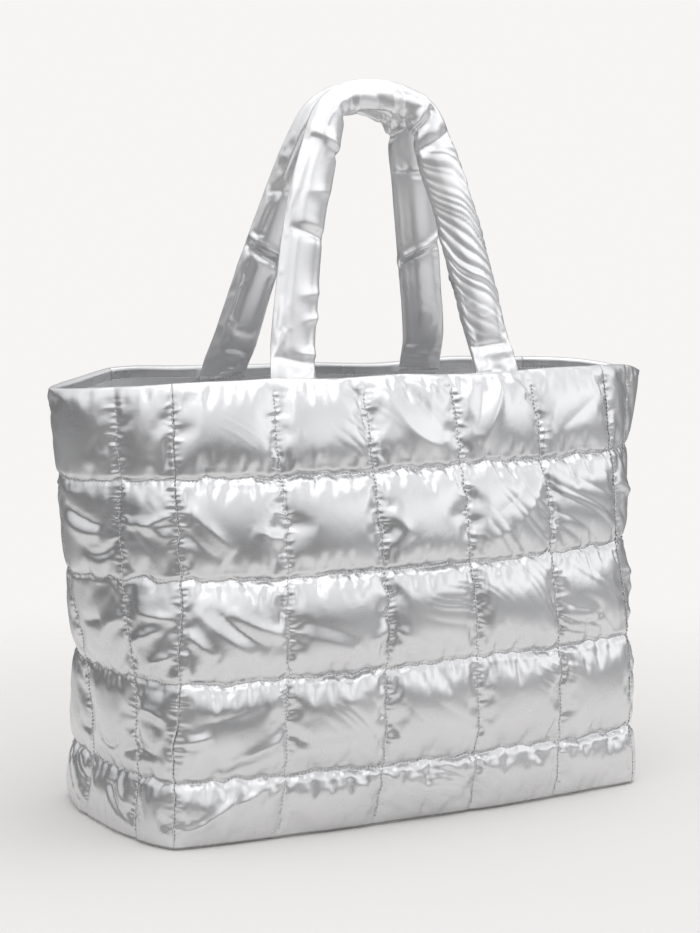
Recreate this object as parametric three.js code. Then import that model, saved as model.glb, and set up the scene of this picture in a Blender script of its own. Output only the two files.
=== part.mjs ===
// A quilted puffer tote bag, standing open on its base with both padded handles up.
// Millimetres, +Z up, +X to the right as seen from the front, +Y from the front to the back.
// The origin is on the floor, under the middle of the bag.
import * as THREE from "three";

// Driving dimensions
const bagHeight = 361; // floor to the rim
const baseWidth = 426; // between the corner seams, left to right, at the belly
const baseDepth = 194; // between the corner seams, front to back, at the belly
const frontBow = 32; // how far the front and back belly out past their corner seams
const wingReach = 76; // how far a gusset's fold stands out past its corner seams, at the rim
const rimDip = 5; // how far the rim drops at a gusset's fold
const puffHeight = 12.5; // crown of a full quilted cell above its seams
const seamSkin = 2; // outer cloth and flattened filling outside the seam surface
const liningDepth = 3; // lining and flattened filling inside the seam surface
const pieceGap = 0.3; // clearance between neighbouring pieces
const quiltColumns = 5; // cells across the front or the back
const gussetWidth = 198; // front seam to back seam, along the cloth
const firstGussetLine = 40; // front seam to the first quilting line of a gusset
const quiltPitch = 84; // spacing of the quilting lines in the gusset's cloth
const baseThickness = 5; // padded floor of the bag
const baseEdgeRound = 1.5; // softening of the base's upper and lower edges
const handleRise = 228; // rim to the middle of a handle's top
const handleFootDrop = 12; // a foot reaches this far below the rim, inside the bag
const handleSpacing = 194; // between the middles of a handle's two feet
const handleWidth = 42; // flat width of a handle's leg
const handleThickness = 25; // thickness of a handle's leg
const handleGap = 0.8; // between the tops of the two handles
const footClearance = 0.7; // between a handle's foot and the lining it is sewn to
const tabWidth = 46; // stitched patch below each foot
const tabHeight = 38;
const tabThickness = 2.5;

// How the forms are rounded
const bowPower = 2.4; // how square the front's and back's belly is: 2 is an arc
const rimDipPower = 6; // how soon the rim's dip fades below the rim
const crownPower = 2.2; // how square a cell's crown is: 2 is an ellipse

// How finely the cloth is cut into flat faces
const cellCuts = [0, 0.14, 0.5, 0.86, 1]; // places across one quilted cell
const handleSides = 12;
const handleSteps = 44;
const baseCutsPerCell = 2;
const tabCuts = [0, 0.5, 1]; // places across a tab

// The walls at each horizontal seam, from the floor to the rim.
// height is a share of bagHeight. cornerX and cornerY place the corner seams, as shares of half of
// baseWidth and baseDepth. bow is a share of frontBow and wing a share of wingReach.
// fold rounds the gusset: 1 is a sharp fold, 3 a full round. lean moves the section sideways,
// as a share of half of baseWidth. puff is a share of puffHeight for the row of cells above.
const wallSections = [
  { height: 0.0, cornerX: 1.02, cornerY: 1.05, bow: 0.35, wing: 0.17, fold: 2.6, lean: -0.026, puff: 0.62 },
  { height: 0.127, cornerX: 1.01, cornerY: 1.01, bow: 0.75, wing: 0.18, fold: 2.6, lean: -0.024, puff: 0.9 },
  { height: 0.352, cornerX: 0.99, cornerY: 1.0, bow: 0.88, wing: 0.32, fold: 2.2, lean: -0.02, puff: 1.0 },
  { height: 0.573, cornerX: 0.965, cornerY: 0.89, bow: 1.0, wing: 0.65, fold: 1.8, lean: -0.018, puff: 1.0 },
  { height: 0.792, cornerX: 0.96, cornerY: 0.8, bow: 0.65, wing: 0.82, fold: 1.5, lean: -0.014, puff: 0.9 },
  { height: 1.0, cornerX: 0.955, cornerY: 0.63, bow: 0.44, wing: 1.0, fold: 1.3, lean: 0.0, puff: 0.0 },
];

// How full each column of cells is, going round the bag in the order front, right, back, left.
const panelFullness = [0.94, 1.0, 0.96, 1.0, 0.92];
const gussetFullness = [0.72, 0.45, 0.6];

// The route of each handle's middle from its left leg at the rim to its right leg at the rim.
// rise is a share of handleRise and across a share of half of handleSpacing. inward goes from 0 at the
// rim to 1 at the top, where the two handles lie side by side. wide and thick are shares of
// handleWidth and handleThickness: the cloth pinches where the handle turns over.
const frontRoute = [
  { rise: 0.0, across: -0.99, inward: 0.0, wide: 1.06, thick: 0.5 },
  { rise: 0.1, across: -0.95, inward: 0.13, wide: 1.0, thick: 0.9 },
  { rise: 0.32, across: -0.85, inward: 0.35, wide: 0.96, thick: 1.0 },
  { rise: 0.56, across: -0.73, inward: 0.58, wide: 0.96, thick: 1.04 },
  { rise: 0.8, across: -0.57, inward: 0.8, wide: 0.95, thick: 1.1 },
  { rise: 0.93, across: -0.43, inward: 0.94, wide: 0.82, thick: 1.16 },
  { rise: 0.99, across: -0.2, inward: 1.0, wide: 0.7, thick: 1.2 },
  { rise: 1.0, across: 0.02, inward: 1.0, wide: 0.68, thick: 1.2 },
  { rise: 0.985, across: 0.28, inward: 1.0, wide: 0.72, thick: 1.2 },
  { rise: 0.92, across: 0.51, inward: 0.92, wide: 0.84, thick: 1.16 },
  { rise: 0.8, across: 0.61, inward: 0.8, wide: 0.95, thick: 1.1 },
  { rise: 0.56, across: 0.77, inward: 0.58, wide: 0.98, thick: 1.04 },
  { rise: 0.32, across: 0.89, inward: 0.35, wide: 1.0, thick: 1.0 },
  { rise: 0.1, across: 0.98, inward: 0.13, wide: 1.0, thick: 0.9 },
  { rise: 0.0, across: 1.0, inward: 0.0, wide: 1.06, thick: 0.5 },
];
const backRoute = [
  { rise: 0.0, across: -0.99, inward: 0.0, wide: 1.06, thick: 0.5 },
  { rise: 0.1, across: -0.95, inward: 0.13, wide: 1.0, thick: 0.9 },
  { rise: 0.32, across: -0.81, inward: 0.35, wide: 0.96, thick: 1.0 },
  { rise: 0.56, across: -0.66, inward: 0.58, wide: 0.94, thick: 1.04 },
  { rise: 0.8, across: -0.49, inward: 0.8, wide: 0.94, thick: 1.1 },
  { rise: 0.93, across: -0.36, inward: 0.94, wide: 0.82, thick: 1.16 },
  { rise: 0.98, across: -0.18, inward: 1.0, wide: 0.7, thick: 1.2 },
  { rise: 0.985, across: 0.04, inward: 1.0, wide: 0.68, thick: 1.2 },
  { rise: 0.97, across: 0.3, inward: 1.0, wide: 0.72, thick: 1.2 },
  { rise: 0.91, across: 0.52, inward: 0.92, wide: 0.84, thick: 1.16 },
  { rise: 0.8, across: 0.64, inward: 0.8, wide: 0.95, thick: 1.1 },
  { rise: 0.56, across: 0.76, inward: 0.58, wide: 0.98, thick: 1.04 },
  { rise: 0.32, across: 0.88, inward: 0.35, wide: 1.0, thick: 1.0 },
  { rise: 0.1, across: 0.98, inward: 0.13, wide: 1.0, thick: 0.9 },
  { rise: 0.0, across: 1.0, inward: 0.0, wide: 1.06, thick: 0.5 },
];

// A smooth value from a table: at is the column that places the rows, and column the one that is read.
function smoothValue(table, at, column, x) {
  const last = table.length - 1;
  let i = 0;
  while (i < last - 1 && x > table[i + 1][at]) i += 1;
  const t = THREE.MathUtils.clamp((x - table[i][at]) / (table[i + 1][at] - table[i][at]), 0, 1);
  const slope = (k) => {
    const before = table[Math.max(k - 1, 0)];
    const after = table[Math.min(k + 1, last)];
    return (after[column] - before[column]) / (after[at] - before[at]);
  };
  const step = table[i + 1][at] - table[i][at];
  const h00 = 2 * t ** 3 - 3 * t ** 2 + 1;
  const h10 = t ** 3 - 2 * t ** 2 + t;
  const h01 = 3 * t ** 2 - 2 * t ** 3;
  const h11 = t ** 3 - t ** 2;
  const low = h00 * table[i][column] + h10 * step * slope(i);
  const high = h01 * table[i + 1][column] + h11 * step * slope(i + 1);
  return low + high;
}

// The size of the seam surface at a share of the bag's height.
function sectionAt(height) {
  const read = (column) => smoothValue(wallSections, "height", column, height);
  return {
    z: baseThickness + pieceGap + height * (bagHeight - baseThickness - pieceGap),
    cornerX: (read("cornerX") * baseWidth) / 2,
    cornerY: (read("cornerY") * baseDepth) / 2,
    bow: read("bow") * frontBow,
    wing: read("wing") * wingReach,
    fold: read("fold"),
    lean: (read("lean") * baseWidth) / 2,
  };
}

// The four walls, going round the bag from the front as seen from above
const FRONT = 0;
const RIGHT = 1;
const BACK = 2;
const LEFT = 3;

// A point of a wall's seam surface. along goes from -1 at the wall's first corner seam to 1 at its last.
function wallPoint(wall, along, height) {
  const s = sectionAt(height);
  const turned = wall === FRONT || wall === RIGHT ? 1 : -1;
  if (wall === FRONT || wall === BACK) {
    const y = -s.cornerY - s.bow * (1 - Math.abs(along) ** bowPower);
    return new THREE.Vector3(s.lean + turned * along * s.cornerX, turned * y, s.z);
  }
  const x = s.cornerX + s.wing * (1 - Math.abs(along) ** s.fold);
  const z = s.z - rimDip * height ** rimDipPower * (1 - Math.abs(along));
  return new THREE.Vector3(s.lean + turned * x, turned * along * s.cornerY, z);
}

// The outward direction of a wall's seam surface, level with the floor, from points just beside it.
function outwardOf(wall, along, height) {
  const aside = 0.02;
  const before = wallPoint(wall, Math.max(along - aside, -1), height);
  const after = wallPoint(wall, Math.min(along + aside, 1), height);
  const way = after.sub(before).setZ(0).normalize();
  return new THREE.Vector3(way.y, -way.x, 0);
}

// The places of the cuts between the quilting lines, with how far each is across its cell.
function cutsBetween(lines) {
  const cuts = [];
  for (let i = 0; i < lines.length - 1; i += 1) {
    for (const share of cellCuts.slice(0, -1)) {
      cuts.push({ place: lines[i] + share * (lines[i + 1] - lines[i]), cell: i, share });
    }
  }
  cuts.push({ place: lines[lines.length - 1], cell: lines.length - 2, share: 1 });
  return cuts;
}

// A cell's crown, 0 on its seams and 1 in its middle.
function crown(share) {
  return Math.sqrt(Math.max(1 - Math.abs(2 * share - 1) ** crownPower, 0));
}

// Joins a closed grid of points into one solid: outer and inner are rows of points, bottom to top.
function shellGeometry(outer, inner) {
  const rows = outer.length;
  const columns = outer[0].length;
  const positions = [];
  for (const face of [outer, inner]) {
    for (const row of face) {
      for (const p of row) positions.push(p.x, p.y, p.z);
    }
  }
  const outerAt = (r, c) => r * columns + c;
  const innerAt = (r, c) => rows * columns + r * columns + c;
  const index = [];
  const quad = (a, b, c, d) => index.push(a, b, c, a, c, d);
  for (let r = 0; r < rows - 1; r += 1) {
    for (let c = 0; c < columns - 1; c += 1) {
      quad(outerAt(r, c), outerAt(r, c + 1), outerAt(r + 1, c + 1), outerAt(r + 1, c));
      quad(innerAt(r, c), innerAt(r + 1, c), innerAt(r + 1, c + 1), innerAt(r, c + 1));
    }
  }
  const top = rows - 1;
  for (let c = 0; c < columns - 1; c += 1) {
    quad(outerAt(0, c + 1), outerAt(0, c), innerAt(0, c), innerAt(0, c + 1));
    quad(outerAt(top, c), outerAt(top, c + 1), innerAt(top, c + 1), innerAt(top, c));
  }
  const end = columns - 1;
  for (let r = 0; r < rows - 1; r += 1) {
    quad(outerAt(r, 0), outerAt(r + 1, 0), innerAt(r + 1, 0), innerAt(r, 0));
    quad(outerAt(r + 1, end), outerAt(r, end), innerAt(r, end), innerAt(r + 1, end));
  }
  const geometry = new THREE.BufferGeometry();
  geometry.setAttribute("position", new THREE.Float32BufferAttribute(positions, 3));
  geometry.setIndex(index);
  geometry.computeVertexNormals();
  return geometry;
}

// One quilted wall. Its side edges lie on the mitre planes that it shares with its neighbours.
function quiltedWall(wall, columnLines, fullness) {
  const rowCuts = cutsBetween(wallSections.map((s) => s.height));
  const columnCuts = cutsBetween(columnLines);
  const outer = [];
  const inner = [];
  for (const row of rowCuts) {
    const outerRow = [];
    const innerRow = [];
    for (const column of columnCuts) {
      const seam = wallPoint(wall, column.place, row.place);
      const out = outwardOf(wall, column.place, row.place);
      const atCorner = Math.abs(column.place) === 1;
      if (atCorner) {
        const neighbour = (wall + column.place + 4) % 4;
        out.add(outwardOf(neighbour, -column.place, row.place)).normalize();
        const intoWall = new THREE.Vector3(out.y, -out.x, 0).multiplyScalar(column.place);
        seam.addScaledVector(intoWall, pieceGap / 2);
      }
      const puff = puffHeight * wallSections[row.cell].puff * fullness[column.cell];
      const swell = atCorner ? 0 : puff * crown(column.share) * crown(row.share);
      outerRow.push(seam.clone().addScaledVector(out, seamSkin + swell));
      innerRow.push(seam.clone().addScaledVector(out, -liningDepth));
    }
    outer.push(outerRow);
    inner.push(innerRow);
  }
  return shellGeometry(outer, inner);
}

// Quilting lines spaced evenly across a wall, from -1 to 1.
function evenLines(count) {
  return Array.from({ length: count + 1 }, (_, i) => -1 + (2 * i) / count);
}

// A gusset's quilting lines. They are set out from the front corner seam, which is at -1 on the right
// gusset and at 1 on the left one.
function gussetLines(wall) {
  const fromFront = [0, firstGussetLine, firstGussetLine + quiltPitch, gussetWidth];
  const lines = fromFront.map((distance) => -1 + (2 * distance) / gussetWidth);
  return wall === RIGHT ? lines : lines.map((line) => -line).reverse();
}

// The padded floor: the foot of the walls' seam surface, filled in.
function baseGeometry() {
  const outline = [];
  for (const wall of [FRONT, RIGHT, BACK, LEFT]) {
    const cells = wall === FRONT || wall === BACK ? quiltColumns : gussetFullness.length;
    const places = evenLines(cells * baseCutsPerCell).slice(0, -1);
    for (const along of places) {
      const p = wallPoint(wall, along, 0);
      outline.push(new THREE.Vector2(p.x, p.y));
    }
  }
  const geometry = new THREE.ExtrudeGeometry(new THREE.Shape(outline), {
    depth: baseThickness - 2 * baseEdgeRound,
    bevelEnabled: true,
    bevelThickness: baseEdgeRound,
    bevelSize: baseEdgeRound,
    bevelOffset: seamSkin - baseEdgeRound,
    bevelSegments: 1,
  });
  geometry.translate(0, 0, baseEdgeRound);
  return geometry;
}

// The lining of the front wall at a place seen from the front, as its y.
function frontLiningY(x, z) {
  const height = (z - baseThickness - pieceGap) / (bagHeight - baseThickness - pieceGap);
  const s = sectionAt(height);
  return wallPoint(FRONT, (x - s.lean) / s.cornerX, height).y + liningDepth;
}

// A point on the oval section of a handle, as shares of its half width and half thickness.
function ovalPoint(n) {
  const angle = (2 * Math.PI * n) / handleSides;
  return new THREE.Vector2(Math.cos(angle), Math.sin(angle));
}

// The y that seats a handle's oval section on the front lining, just clear of it all across.
function seatedY(x, z, halfWide, halfThick) {
  let y = -Infinity;
  for (let n = 0; n < handleSides; n += 1) {
    const oval = ovalPoint(n);
    y = Math.max(y, frontLiningY(x + halfWide * oval.x, z) + halfThick * Math.abs(oval.y) + footClearance);
  }
  return y;
}

// A handle: a padded tube that rises from one foot inside the front wall, over, and down to the other.
// side is -1 for the front handle and 1 for the back one, whose feet are inside the back wall.
function handleGeometry(route, side) {
  const halfWide = (row) => (row.wide * handleWidth) / 2;
  const halfThick = (row) => (row.thick * handleThickness) / 2;
  const thickest = Math.max(...route.map(halfThick));
  const place = (row) => {
    const x = (row.across * handleSpacing) / 2;
    const z = bagHeight + row.rise * handleRise;
    const rimY = -seatedY(x, bagHeight, halfWide(row), halfThick(row));
    const topY = thickest + handleGap / 2;
    return new THREE.Vector3(x, side * THREE.MathUtils.lerp(rimY, topY, row.inward), z);
  };
  const foot = (row) => {
    const x = (row.across * handleSpacing) / 2;
    const z = bagHeight - handleFootDrop;
    return new THREE.Vector3(x, -side * seatedY(x, z, halfWide(row), halfThick(row)), z);
  };
  const last = route.length - 1;
  const rows = [route[0], ...route, route[last]];
  const points = [foot(route[0]), ...route.map(place), foot(route[last])];
  const curve = new THREE.CatmullRomCurve3(points, false, "centripetal");
  const sizes = rows.map((row, i) => {
    return { at: i / (rows.length - 1), wide: halfWide(row), thick: halfThick(row) };
  });
  const sections = [];
  for (let k = 0; k <= handleSteps; k += 1) {
    const t = k / handleSteps;
    const centre = curve.getPoint(t);
    const tangent = curve.getTangent(t);
    const thickWay = new THREE.Vector3(0, 1, 0).addScaledVector(tangent, -tangent.y).normalize();
    const wideWay = new THREE.Vector3().crossVectors(thickWay, tangent).normalize();
    const wide = smoothValue(sizes, "at", "wide", t);
    const thick = smoothValue(sizes, "at", "thick", t);
    const ring = [];
    for (let n = 0; n < handleSides; n += 1) {
      const oval = ovalPoint(n);
      const p = centre.clone().addScaledVector(wideWay, wide * oval.x);
      ring.push(p.addScaledVector(thickWay, thick * oval.y));
    }
    sections.push(ring);
  }
  return tubeGeometry(sections);
}

// A closed solid through rings of points, with flat ends.
function tubeGeometry(sections) {
  const sides = sections[0].length;
  const positions = sections.flat().flatMap((p) => [p.x, p.y, p.z]);
  const index = [];
  for (let k = 0; k < sections.length - 1; k += 1) {
    for (let n = 0; n < sides; n += 1) {
      const a = k * sides + n;
      const b = k * sides + ((n + 1) % sides);
      index.push(a, b, a + sides, b, b + sides, a + sides);
    }
  }
  const last = (sections.length - 1) * sides;
  for (let n = 1; n < sides - 1; n += 1) {
    index.push(0, n + 1, n);
    index.push(last, last + n, last + n + 1);
  }
  const geometry = new THREE.BufferGeometry();
  geometry.setAttribute("position", new THREE.Float32BufferAttribute(positions, 3));
  geometry.setIndex(index);
  geometry.computeVertexNormals();
  return geometry;
}

// The stitched patch that carries a handle's foot down the lining, for the front wall or the back one.
function tabGeometry(wall, sideways) {
  const top = bagHeight - handleFootDrop - pieceGap;
  const facing = wall === FRONT ? 1 : -1;
  const onLining = [];
  const inside = [];
  for (const v of tabCuts) {
    const z = top - tabHeight * (1 - v);
    const liningRow = [];
    const insideRow = [];
    for (const u of tabCuts) {
      const x = (sideways * handleSpacing) / 2 + facing * (u - 0.5) * tabWidth;
      const y = frontLiningY(x, z) + pieceGap;
      liningRow.push(new THREE.Vector3(x, facing * y, z));
      insideRow.push(new THREE.Vector3(x, facing * (y + tabThickness), z));
    }
    onLining.push(liningRow);
    inside.push(insideRow);
  }
  return shellGeometry(onLining, inside);
}

const puffCloth = new THREE.MeshStandardMaterial({ color: 0xc9cacc, roughness: 0.3, metalness: 0.9 });
const baseCloth = new THREE.MeshStandardMaterial({ color: 0xbfc0c2, roughness: 0.35, metalness: 0.9 });
const handleCloth = new THREE.MeshStandardMaterial({ color: 0xcdcecf, roughness: 0.28, metalness: 0.9 });
const tabCloth = new THREE.MeshStandardMaterial({ color: 0xc4c5c7, roughness: 0.35, metalness: 0.9 });

const bag = new THREE.Group();

function addPiece(name, geometry, material) {
  const mesh = new THREE.Mesh(geometry, material);
  mesh.name = name;
  bag.add(mesh);
}

addPiece("front_panel", quiltedWall(FRONT, evenLines(quiltColumns), panelFullness), puffCloth);
addPiece("right_gusset", quiltedWall(RIGHT, gussetLines(RIGHT), gussetFullness), puffCloth);
addPiece("back_panel", quiltedWall(BACK, evenLines(quiltColumns), panelFullness), puffCloth);
addPiece("left_gusset", quiltedWall(LEFT, gussetLines(LEFT), gussetFullness.toReversed()), puffCloth);
addPiece("base_panel", baseGeometry(), baseCloth);
addPiece("front_handle", handleGeometry(frontRoute, -1), handleCloth);
addPiece("back_handle", handleGeometry(backRoute, 1), handleCloth);
for (const [wallName, wall] of [["front", FRONT], ["back", BACK]]) {
  addPiece(`${wallName}_left_tab`, tabGeometry(wall, -1), tabCloth);
  addPiece(`${wallName}_right_tab`, tabGeometry(wall, 1), tabCloth);
}

// The middle of the whole bag stands over the origin.
const middle = new THREE.Box3().setFromObject(bag, true).getCenter(new THREE.Vector3());
bag.position.set(-middle.x, -middle.y, 0);

export default bag;
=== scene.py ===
# %% [markdown]
# # A silver puffer tote bag
# The real bag is sewn from shiny metallic nylon over soft filling. Rows of stitching pull the cloth
# into the filling, so every cell stands proud and the cloth puckers along every seam.
# Two padded tubes of the same cloth make the handles.
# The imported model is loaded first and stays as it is. Everything below is built around it.

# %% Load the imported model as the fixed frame
import math

import bpy
import numpy as np
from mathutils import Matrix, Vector


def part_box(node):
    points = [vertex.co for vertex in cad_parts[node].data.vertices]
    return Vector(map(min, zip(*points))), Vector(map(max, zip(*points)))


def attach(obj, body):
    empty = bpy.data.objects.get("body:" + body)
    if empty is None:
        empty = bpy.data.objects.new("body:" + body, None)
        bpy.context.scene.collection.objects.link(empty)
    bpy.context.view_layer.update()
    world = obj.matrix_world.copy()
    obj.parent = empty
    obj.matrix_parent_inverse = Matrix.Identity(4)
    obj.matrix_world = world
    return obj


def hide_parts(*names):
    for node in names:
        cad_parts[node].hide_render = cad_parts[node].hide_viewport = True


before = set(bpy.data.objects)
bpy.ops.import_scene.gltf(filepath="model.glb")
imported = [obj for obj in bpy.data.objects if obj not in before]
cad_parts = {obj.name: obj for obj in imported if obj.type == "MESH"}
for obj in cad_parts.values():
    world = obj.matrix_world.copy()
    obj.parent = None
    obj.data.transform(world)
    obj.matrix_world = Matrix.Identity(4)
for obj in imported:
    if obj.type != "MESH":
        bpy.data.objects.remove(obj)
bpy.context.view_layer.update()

MM = 0.001

# %% [markdown]
# ## The camera
# The camera comes first, because every later choice is judged through it. A long lens from the left,
# a little above the rim, looks across the front and along the left gusset. The lens is long, so the
# bag's sides hardly converge.

# %% Set up the camera
CAMERA_PLACE = (-0.9960, -1.7605, 0.5168)
CAMERA_TARGET = (-0.0088, 0.0, 0.2785)
CAMERA_LENS = 92.64
SENSOR = 36.0

camera_data = bpy.data.cameras.new("camera")
camera_data.lens = CAMERA_LENS
camera_data.sensor_width = SENSOR
camera_data.clip_start = 0.05
camera_data.clip_end = 50
camera = bpy.data.objects.new("camera", camera_data)
bpy.context.scene.collection.objects.link(camera)
camera.location = CAMERA_PLACE
aim = Vector(CAMERA_TARGET) - Vector(CAMERA_PLACE)
camera.rotation_euler = aim.to_track_quat("-Z", "Y").to_euler()
bpy.context.scene.camera = camera
print("camera distance in m:", round(aim.length, 3))

# %% [markdown]
# ## Small helpers
# Big meshes are handed to Blender as whole arrays, which is much faster than face by face.
# New primitives must not drag the loaded parts along, so everything is deselected before each one.


# %% Helpers for meshes
def deselect_all():
    if bpy.context.object and bpy.context.object.mode != "OBJECT":
        bpy.ops.object.mode_set(mode="OBJECT")
    bpy.ops.object.select_all(action="DESELECT")


def make_active(piece):
    deselect_all()
    piece.select_set(True)
    bpy.context.view_layer.objects.active = piece


def piece_from_faces(name, points, faces):
    """A new mesh object. points is an array of places, and faces a list of arrays of point numbers."""
    counts = np.concatenate([np.full(len(f), f.shape[1]) for f in faces])
    corners = np.concatenate([f.reshape(-1) for f in faces])
    mesh = bpy.data.meshes.new(name)
    mesh.vertices.add(len(points))
    mesh.vertices.foreach_set("co", np.asarray(points, np.float32).reshape(-1))
    mesh.loops.add(len(corners))
    mesh.loops.foreach_set("vertex_index", corners.astype(np.int32))
    mesh.polygons.add(len(counts))
    starts = np.concatenate([[0], np.cumsum(counts)[:-1]])
    mesh.polygons.foreach_set("loop_start", starts.astype(np.int32))
    mesh.update(calc_edges=True)
    mesh.shade_smooth()
    piece = bpy.data.objects.new(name, mesh)
    bpy.context.scene.collection.objects.link(piece)
    return piece


def grid_faces(numbers):
    """The quads of a grid of point numbers."""
    corners = (numbers[:-1, :-1], numbers[:-1, 1:], numbers[1:, 1:], numbers[1:, :-1])
    return np.stack(corners, -1).reshape(-1, 4)


def unit(vectors):
    return vectors / np.maximum(np.linalg.norm(vectors, axis=-1, keepdims=True), 1e-12)


def apply_modifier(piece, kind, **values):
    """Adds a modifier to the active piece, sets its values and applies it."""
    made = piece.modifiers.new(kind.lower(), kind)
    for key, value in values.items():
        setattr(made, key, value)
    bpy.ops.object.modifier_apply(modifier=made.name)


def thicken(shift):
    """Makes the active flat mesh solid: extrudes it by shift, and turns its faces outwards."""
    bpy.ops.object.mode_set(mode="EDIT")
    bpy.ops.mesh.select_all(action="SELECT")
    bpy.ops.mesh.extrude_region_move(TRANSFORM_OT_translate={"value": shift})
    bpy.ops.mesh.select_all(action="SELECT")
    bpy.ops.mesh.normals_make_consistent(inside=False)
    bpy.ops.object.mode_set(mode="OBJECT")


# %% [markdown]
# ## The shape of the walls
# The walls follow the same few sections as the solid model: at each horizontal seam, where the
# corner seams stand, how far the front bellies out and how far the gussets fold out to the sides.
# Going up from the floor, the bag gets narrower from front to back, and the gussets' folds reach out.

# %% Sizes of the walls
rim_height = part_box("front_panel")[1].z
wall_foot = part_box("front_panel")[0].z
BASE_WIDTH = 426 * MM
BASE_DEPTH = 194 * MM
FRONT_BOW = 32 * MM
WING_REACH = 76 * MM
RIM_DIP = 5 * MM
PUFF_HEIGHT = 12.5 * MM
BAG_SHIFT = 0.4 * MM  # the solid model was centred over the origin by this much

# Rows from the floor up: height share, corner x, corner y, bow, wing, fold, lean and puff shares
SECTION_NAMES = ("height", "corner_x", "corner_y", "bow", "wing", "fold", "lean", "puff")
SECTION_ROWS = (
    (0.0, 1.02, 1.05, 0.35, 0.24, 2.4, -0.026, 0.8),
    (0.127, 1.01, 1.01, 0.75, 0.18, 2.6, -0.024, 0.9),
    (0.352, 0.99, 1.0, 0.88, 0.32, 2.2, -0.02, 1.0),
    (0.573, 0.965, 0.89, 1.0, 0.65, 1.8, -0.018, 1.0),
    (0.792, 0.96, 0.8, 0.65, 0.82, 1.5, -0.014, 0.9),
    (1.0, 0.955, 0.63, 0.44, 1.0, 1.3, 0.0, 0.0),
)
sections = {name: np.array(column) for name, column in zip(SECTION_NAMES, zip(*SECTION_ROWS))}
FRONT, RIGHT, BACK, LEFT = range(4)
WALL_NODES = ("front_panel", "right_gusset", "back_panel", "left_gusset")


def smooth_value(places, values, x):
    """A smooth curve through a few values, read at x."""
    x = np.asarray(x, float)
    i = np.clip(np.searchsorted(places, x, side="left") - 1, 0, len(places) - 2)
    step = places[i + 1] - places[i]
    t = np.clip((x - places[i]) / step, 0, 1)
    before = np.maximum(np.arange(len(places)) - 1, 0)
    after = np.minimum(np.arange(len(places)) + 1, len(places) - 1)
    slope = (values[after] - values[before]) / (places[after] - places[before])
    low = (2 * t**3 - 3 * t**2 + 1) * values[i] + (t**3 - 2 * t**2 + t) * step * slope[i]
    high = (3 * t**2 - 2 * t**3) * values[i + 1] + (t**3 - t**2) * step * slope[i + 1]
    return low + high


def section(name, height):
    return smooth_value(sections["height"], sections[name], height)


def wall_point(wall, along, height):
    """A point of a wall's seam surface. along runs from -1 to 1 between the wall's corner seams."""
    along, height = np.broadcast_arrays(np.asarray(along, float), np.asarray(height, float))
    corner_x = section("corner_x", height) * BASE_WIDTH / 2
    corner_y = section("corner_y", height) * BASE_DEPTH / 2
    lean = section("lean", height) * BASE_WIDTH / 2 + BAG_SHIFT
    turned = 1 if wall in (FRONT, RIGHT) else -1
    z = wall_foot + height * (rim_height - wall_foot)
    if wall in (FRONT, BACK):
        bow = section("bow", height) * FRONT_BOW
        y = -corner_y - bow * (1 - np.abs(along) ** 2.4)
        return np.stack([lean + turned * along * corner_x, turned * y, z], -1)
    wing = section("wing", height) * WING_REACH
    x = corner_x + wing * (1 - (along**2 + 1e-4) ** (section("fold", height) / 2))
    z = z - RIM_DIP * height**6 * (1 - np.abs(along))
    return np.stack([lean + turned * x, turned * along * corner_y, z], -1)


def outward_of(wall, along, height):
    """The level direction that points out of the bag."""
    aside = 0.02
    way = wall_point(wall, np.minimum(along + aside, 1), height)
    way = way - wall_point(wall, np.maximum(along - aside, -1), height)
    way[..., 2] = 0
    way = unit(way)
    return np.stack([way[..., 1], -way[..., 0], 0 * way[..., 0]], -1)


print("walls from", round(wall_foot / MM, 1), "to", round(rim_height / MM, 1), "mm")

# %% [markdown]
# ## One net of cloth for the whole outside
# The outer cloth is laid out as one closed ring of columns round the bag, so that neighbouring walls
# share their corner seams. Rows run from the floor up to the rim, roll over it, and end at the facing
# seam a little way down the inside. Every quilting line falls on a row or a column of the net.

# %% Lay out the net's rows and columns
NET_STEP = 3.9 * MM
ROLL_RADIUS = 2.6 * MM
SEAM_SKIN = 1.6 * MM  # flattened cloth and filling outside the seam surface
FACING_DROP = 10 * MM  # the facing seam lies this far below the rim, on the inside
LINING_DEPTH = 3 * MM
FRONT_LINES = np.linspace(-1, 1, 6)
GUSSET_LINES = np.array([0, 40, 124, 198]) / 198 * 2 - 1
WALL_LINES = {FRONT: FRONT_LINES, RIGHT: GUSSET_LINES, BACK: FRONT_LINES, LEFT: -GUSSET_LINES[::-1]}
PANEL_FULLNESS = (0.94, 1.0, 0.96, 1.0, 0.92)
GUSSET_FULLNESS = (0.72, 0.45, 0.6)
FULLNESS = {
    FRONT: PANEL_FULLNESS,
    RIGHT: GUSSET_FULLNESS,
    BACK: PANEL_FULLNESS,
    LEFT: GUSSET_FULLNESS[::-1],
}
CELL_WIDTHS = {FRONT: [84] * 5, RIGHT: [40, 84, 74], BACK: [84] * 5, LEFT: [74, 84, 40]}


def net_lines(lines, sizes):
    """Places between the seam lines, the cell that each is in, and its share across that cell."""
    places, cells, shares = [], [], []
    for cell, size in enumerate(sizes):
        count = max(4, round(size / NET_STEP))
        share = np.arange(count) / count
        places.append(lines[cell] + share * (lines[cell + 1] - lines[cell]))
        cells.append(np.full(count, cell))
        shares.append(share)
    return np.concatenate(places), np.concatenate(cells), np.concatenate(shares)


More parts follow.
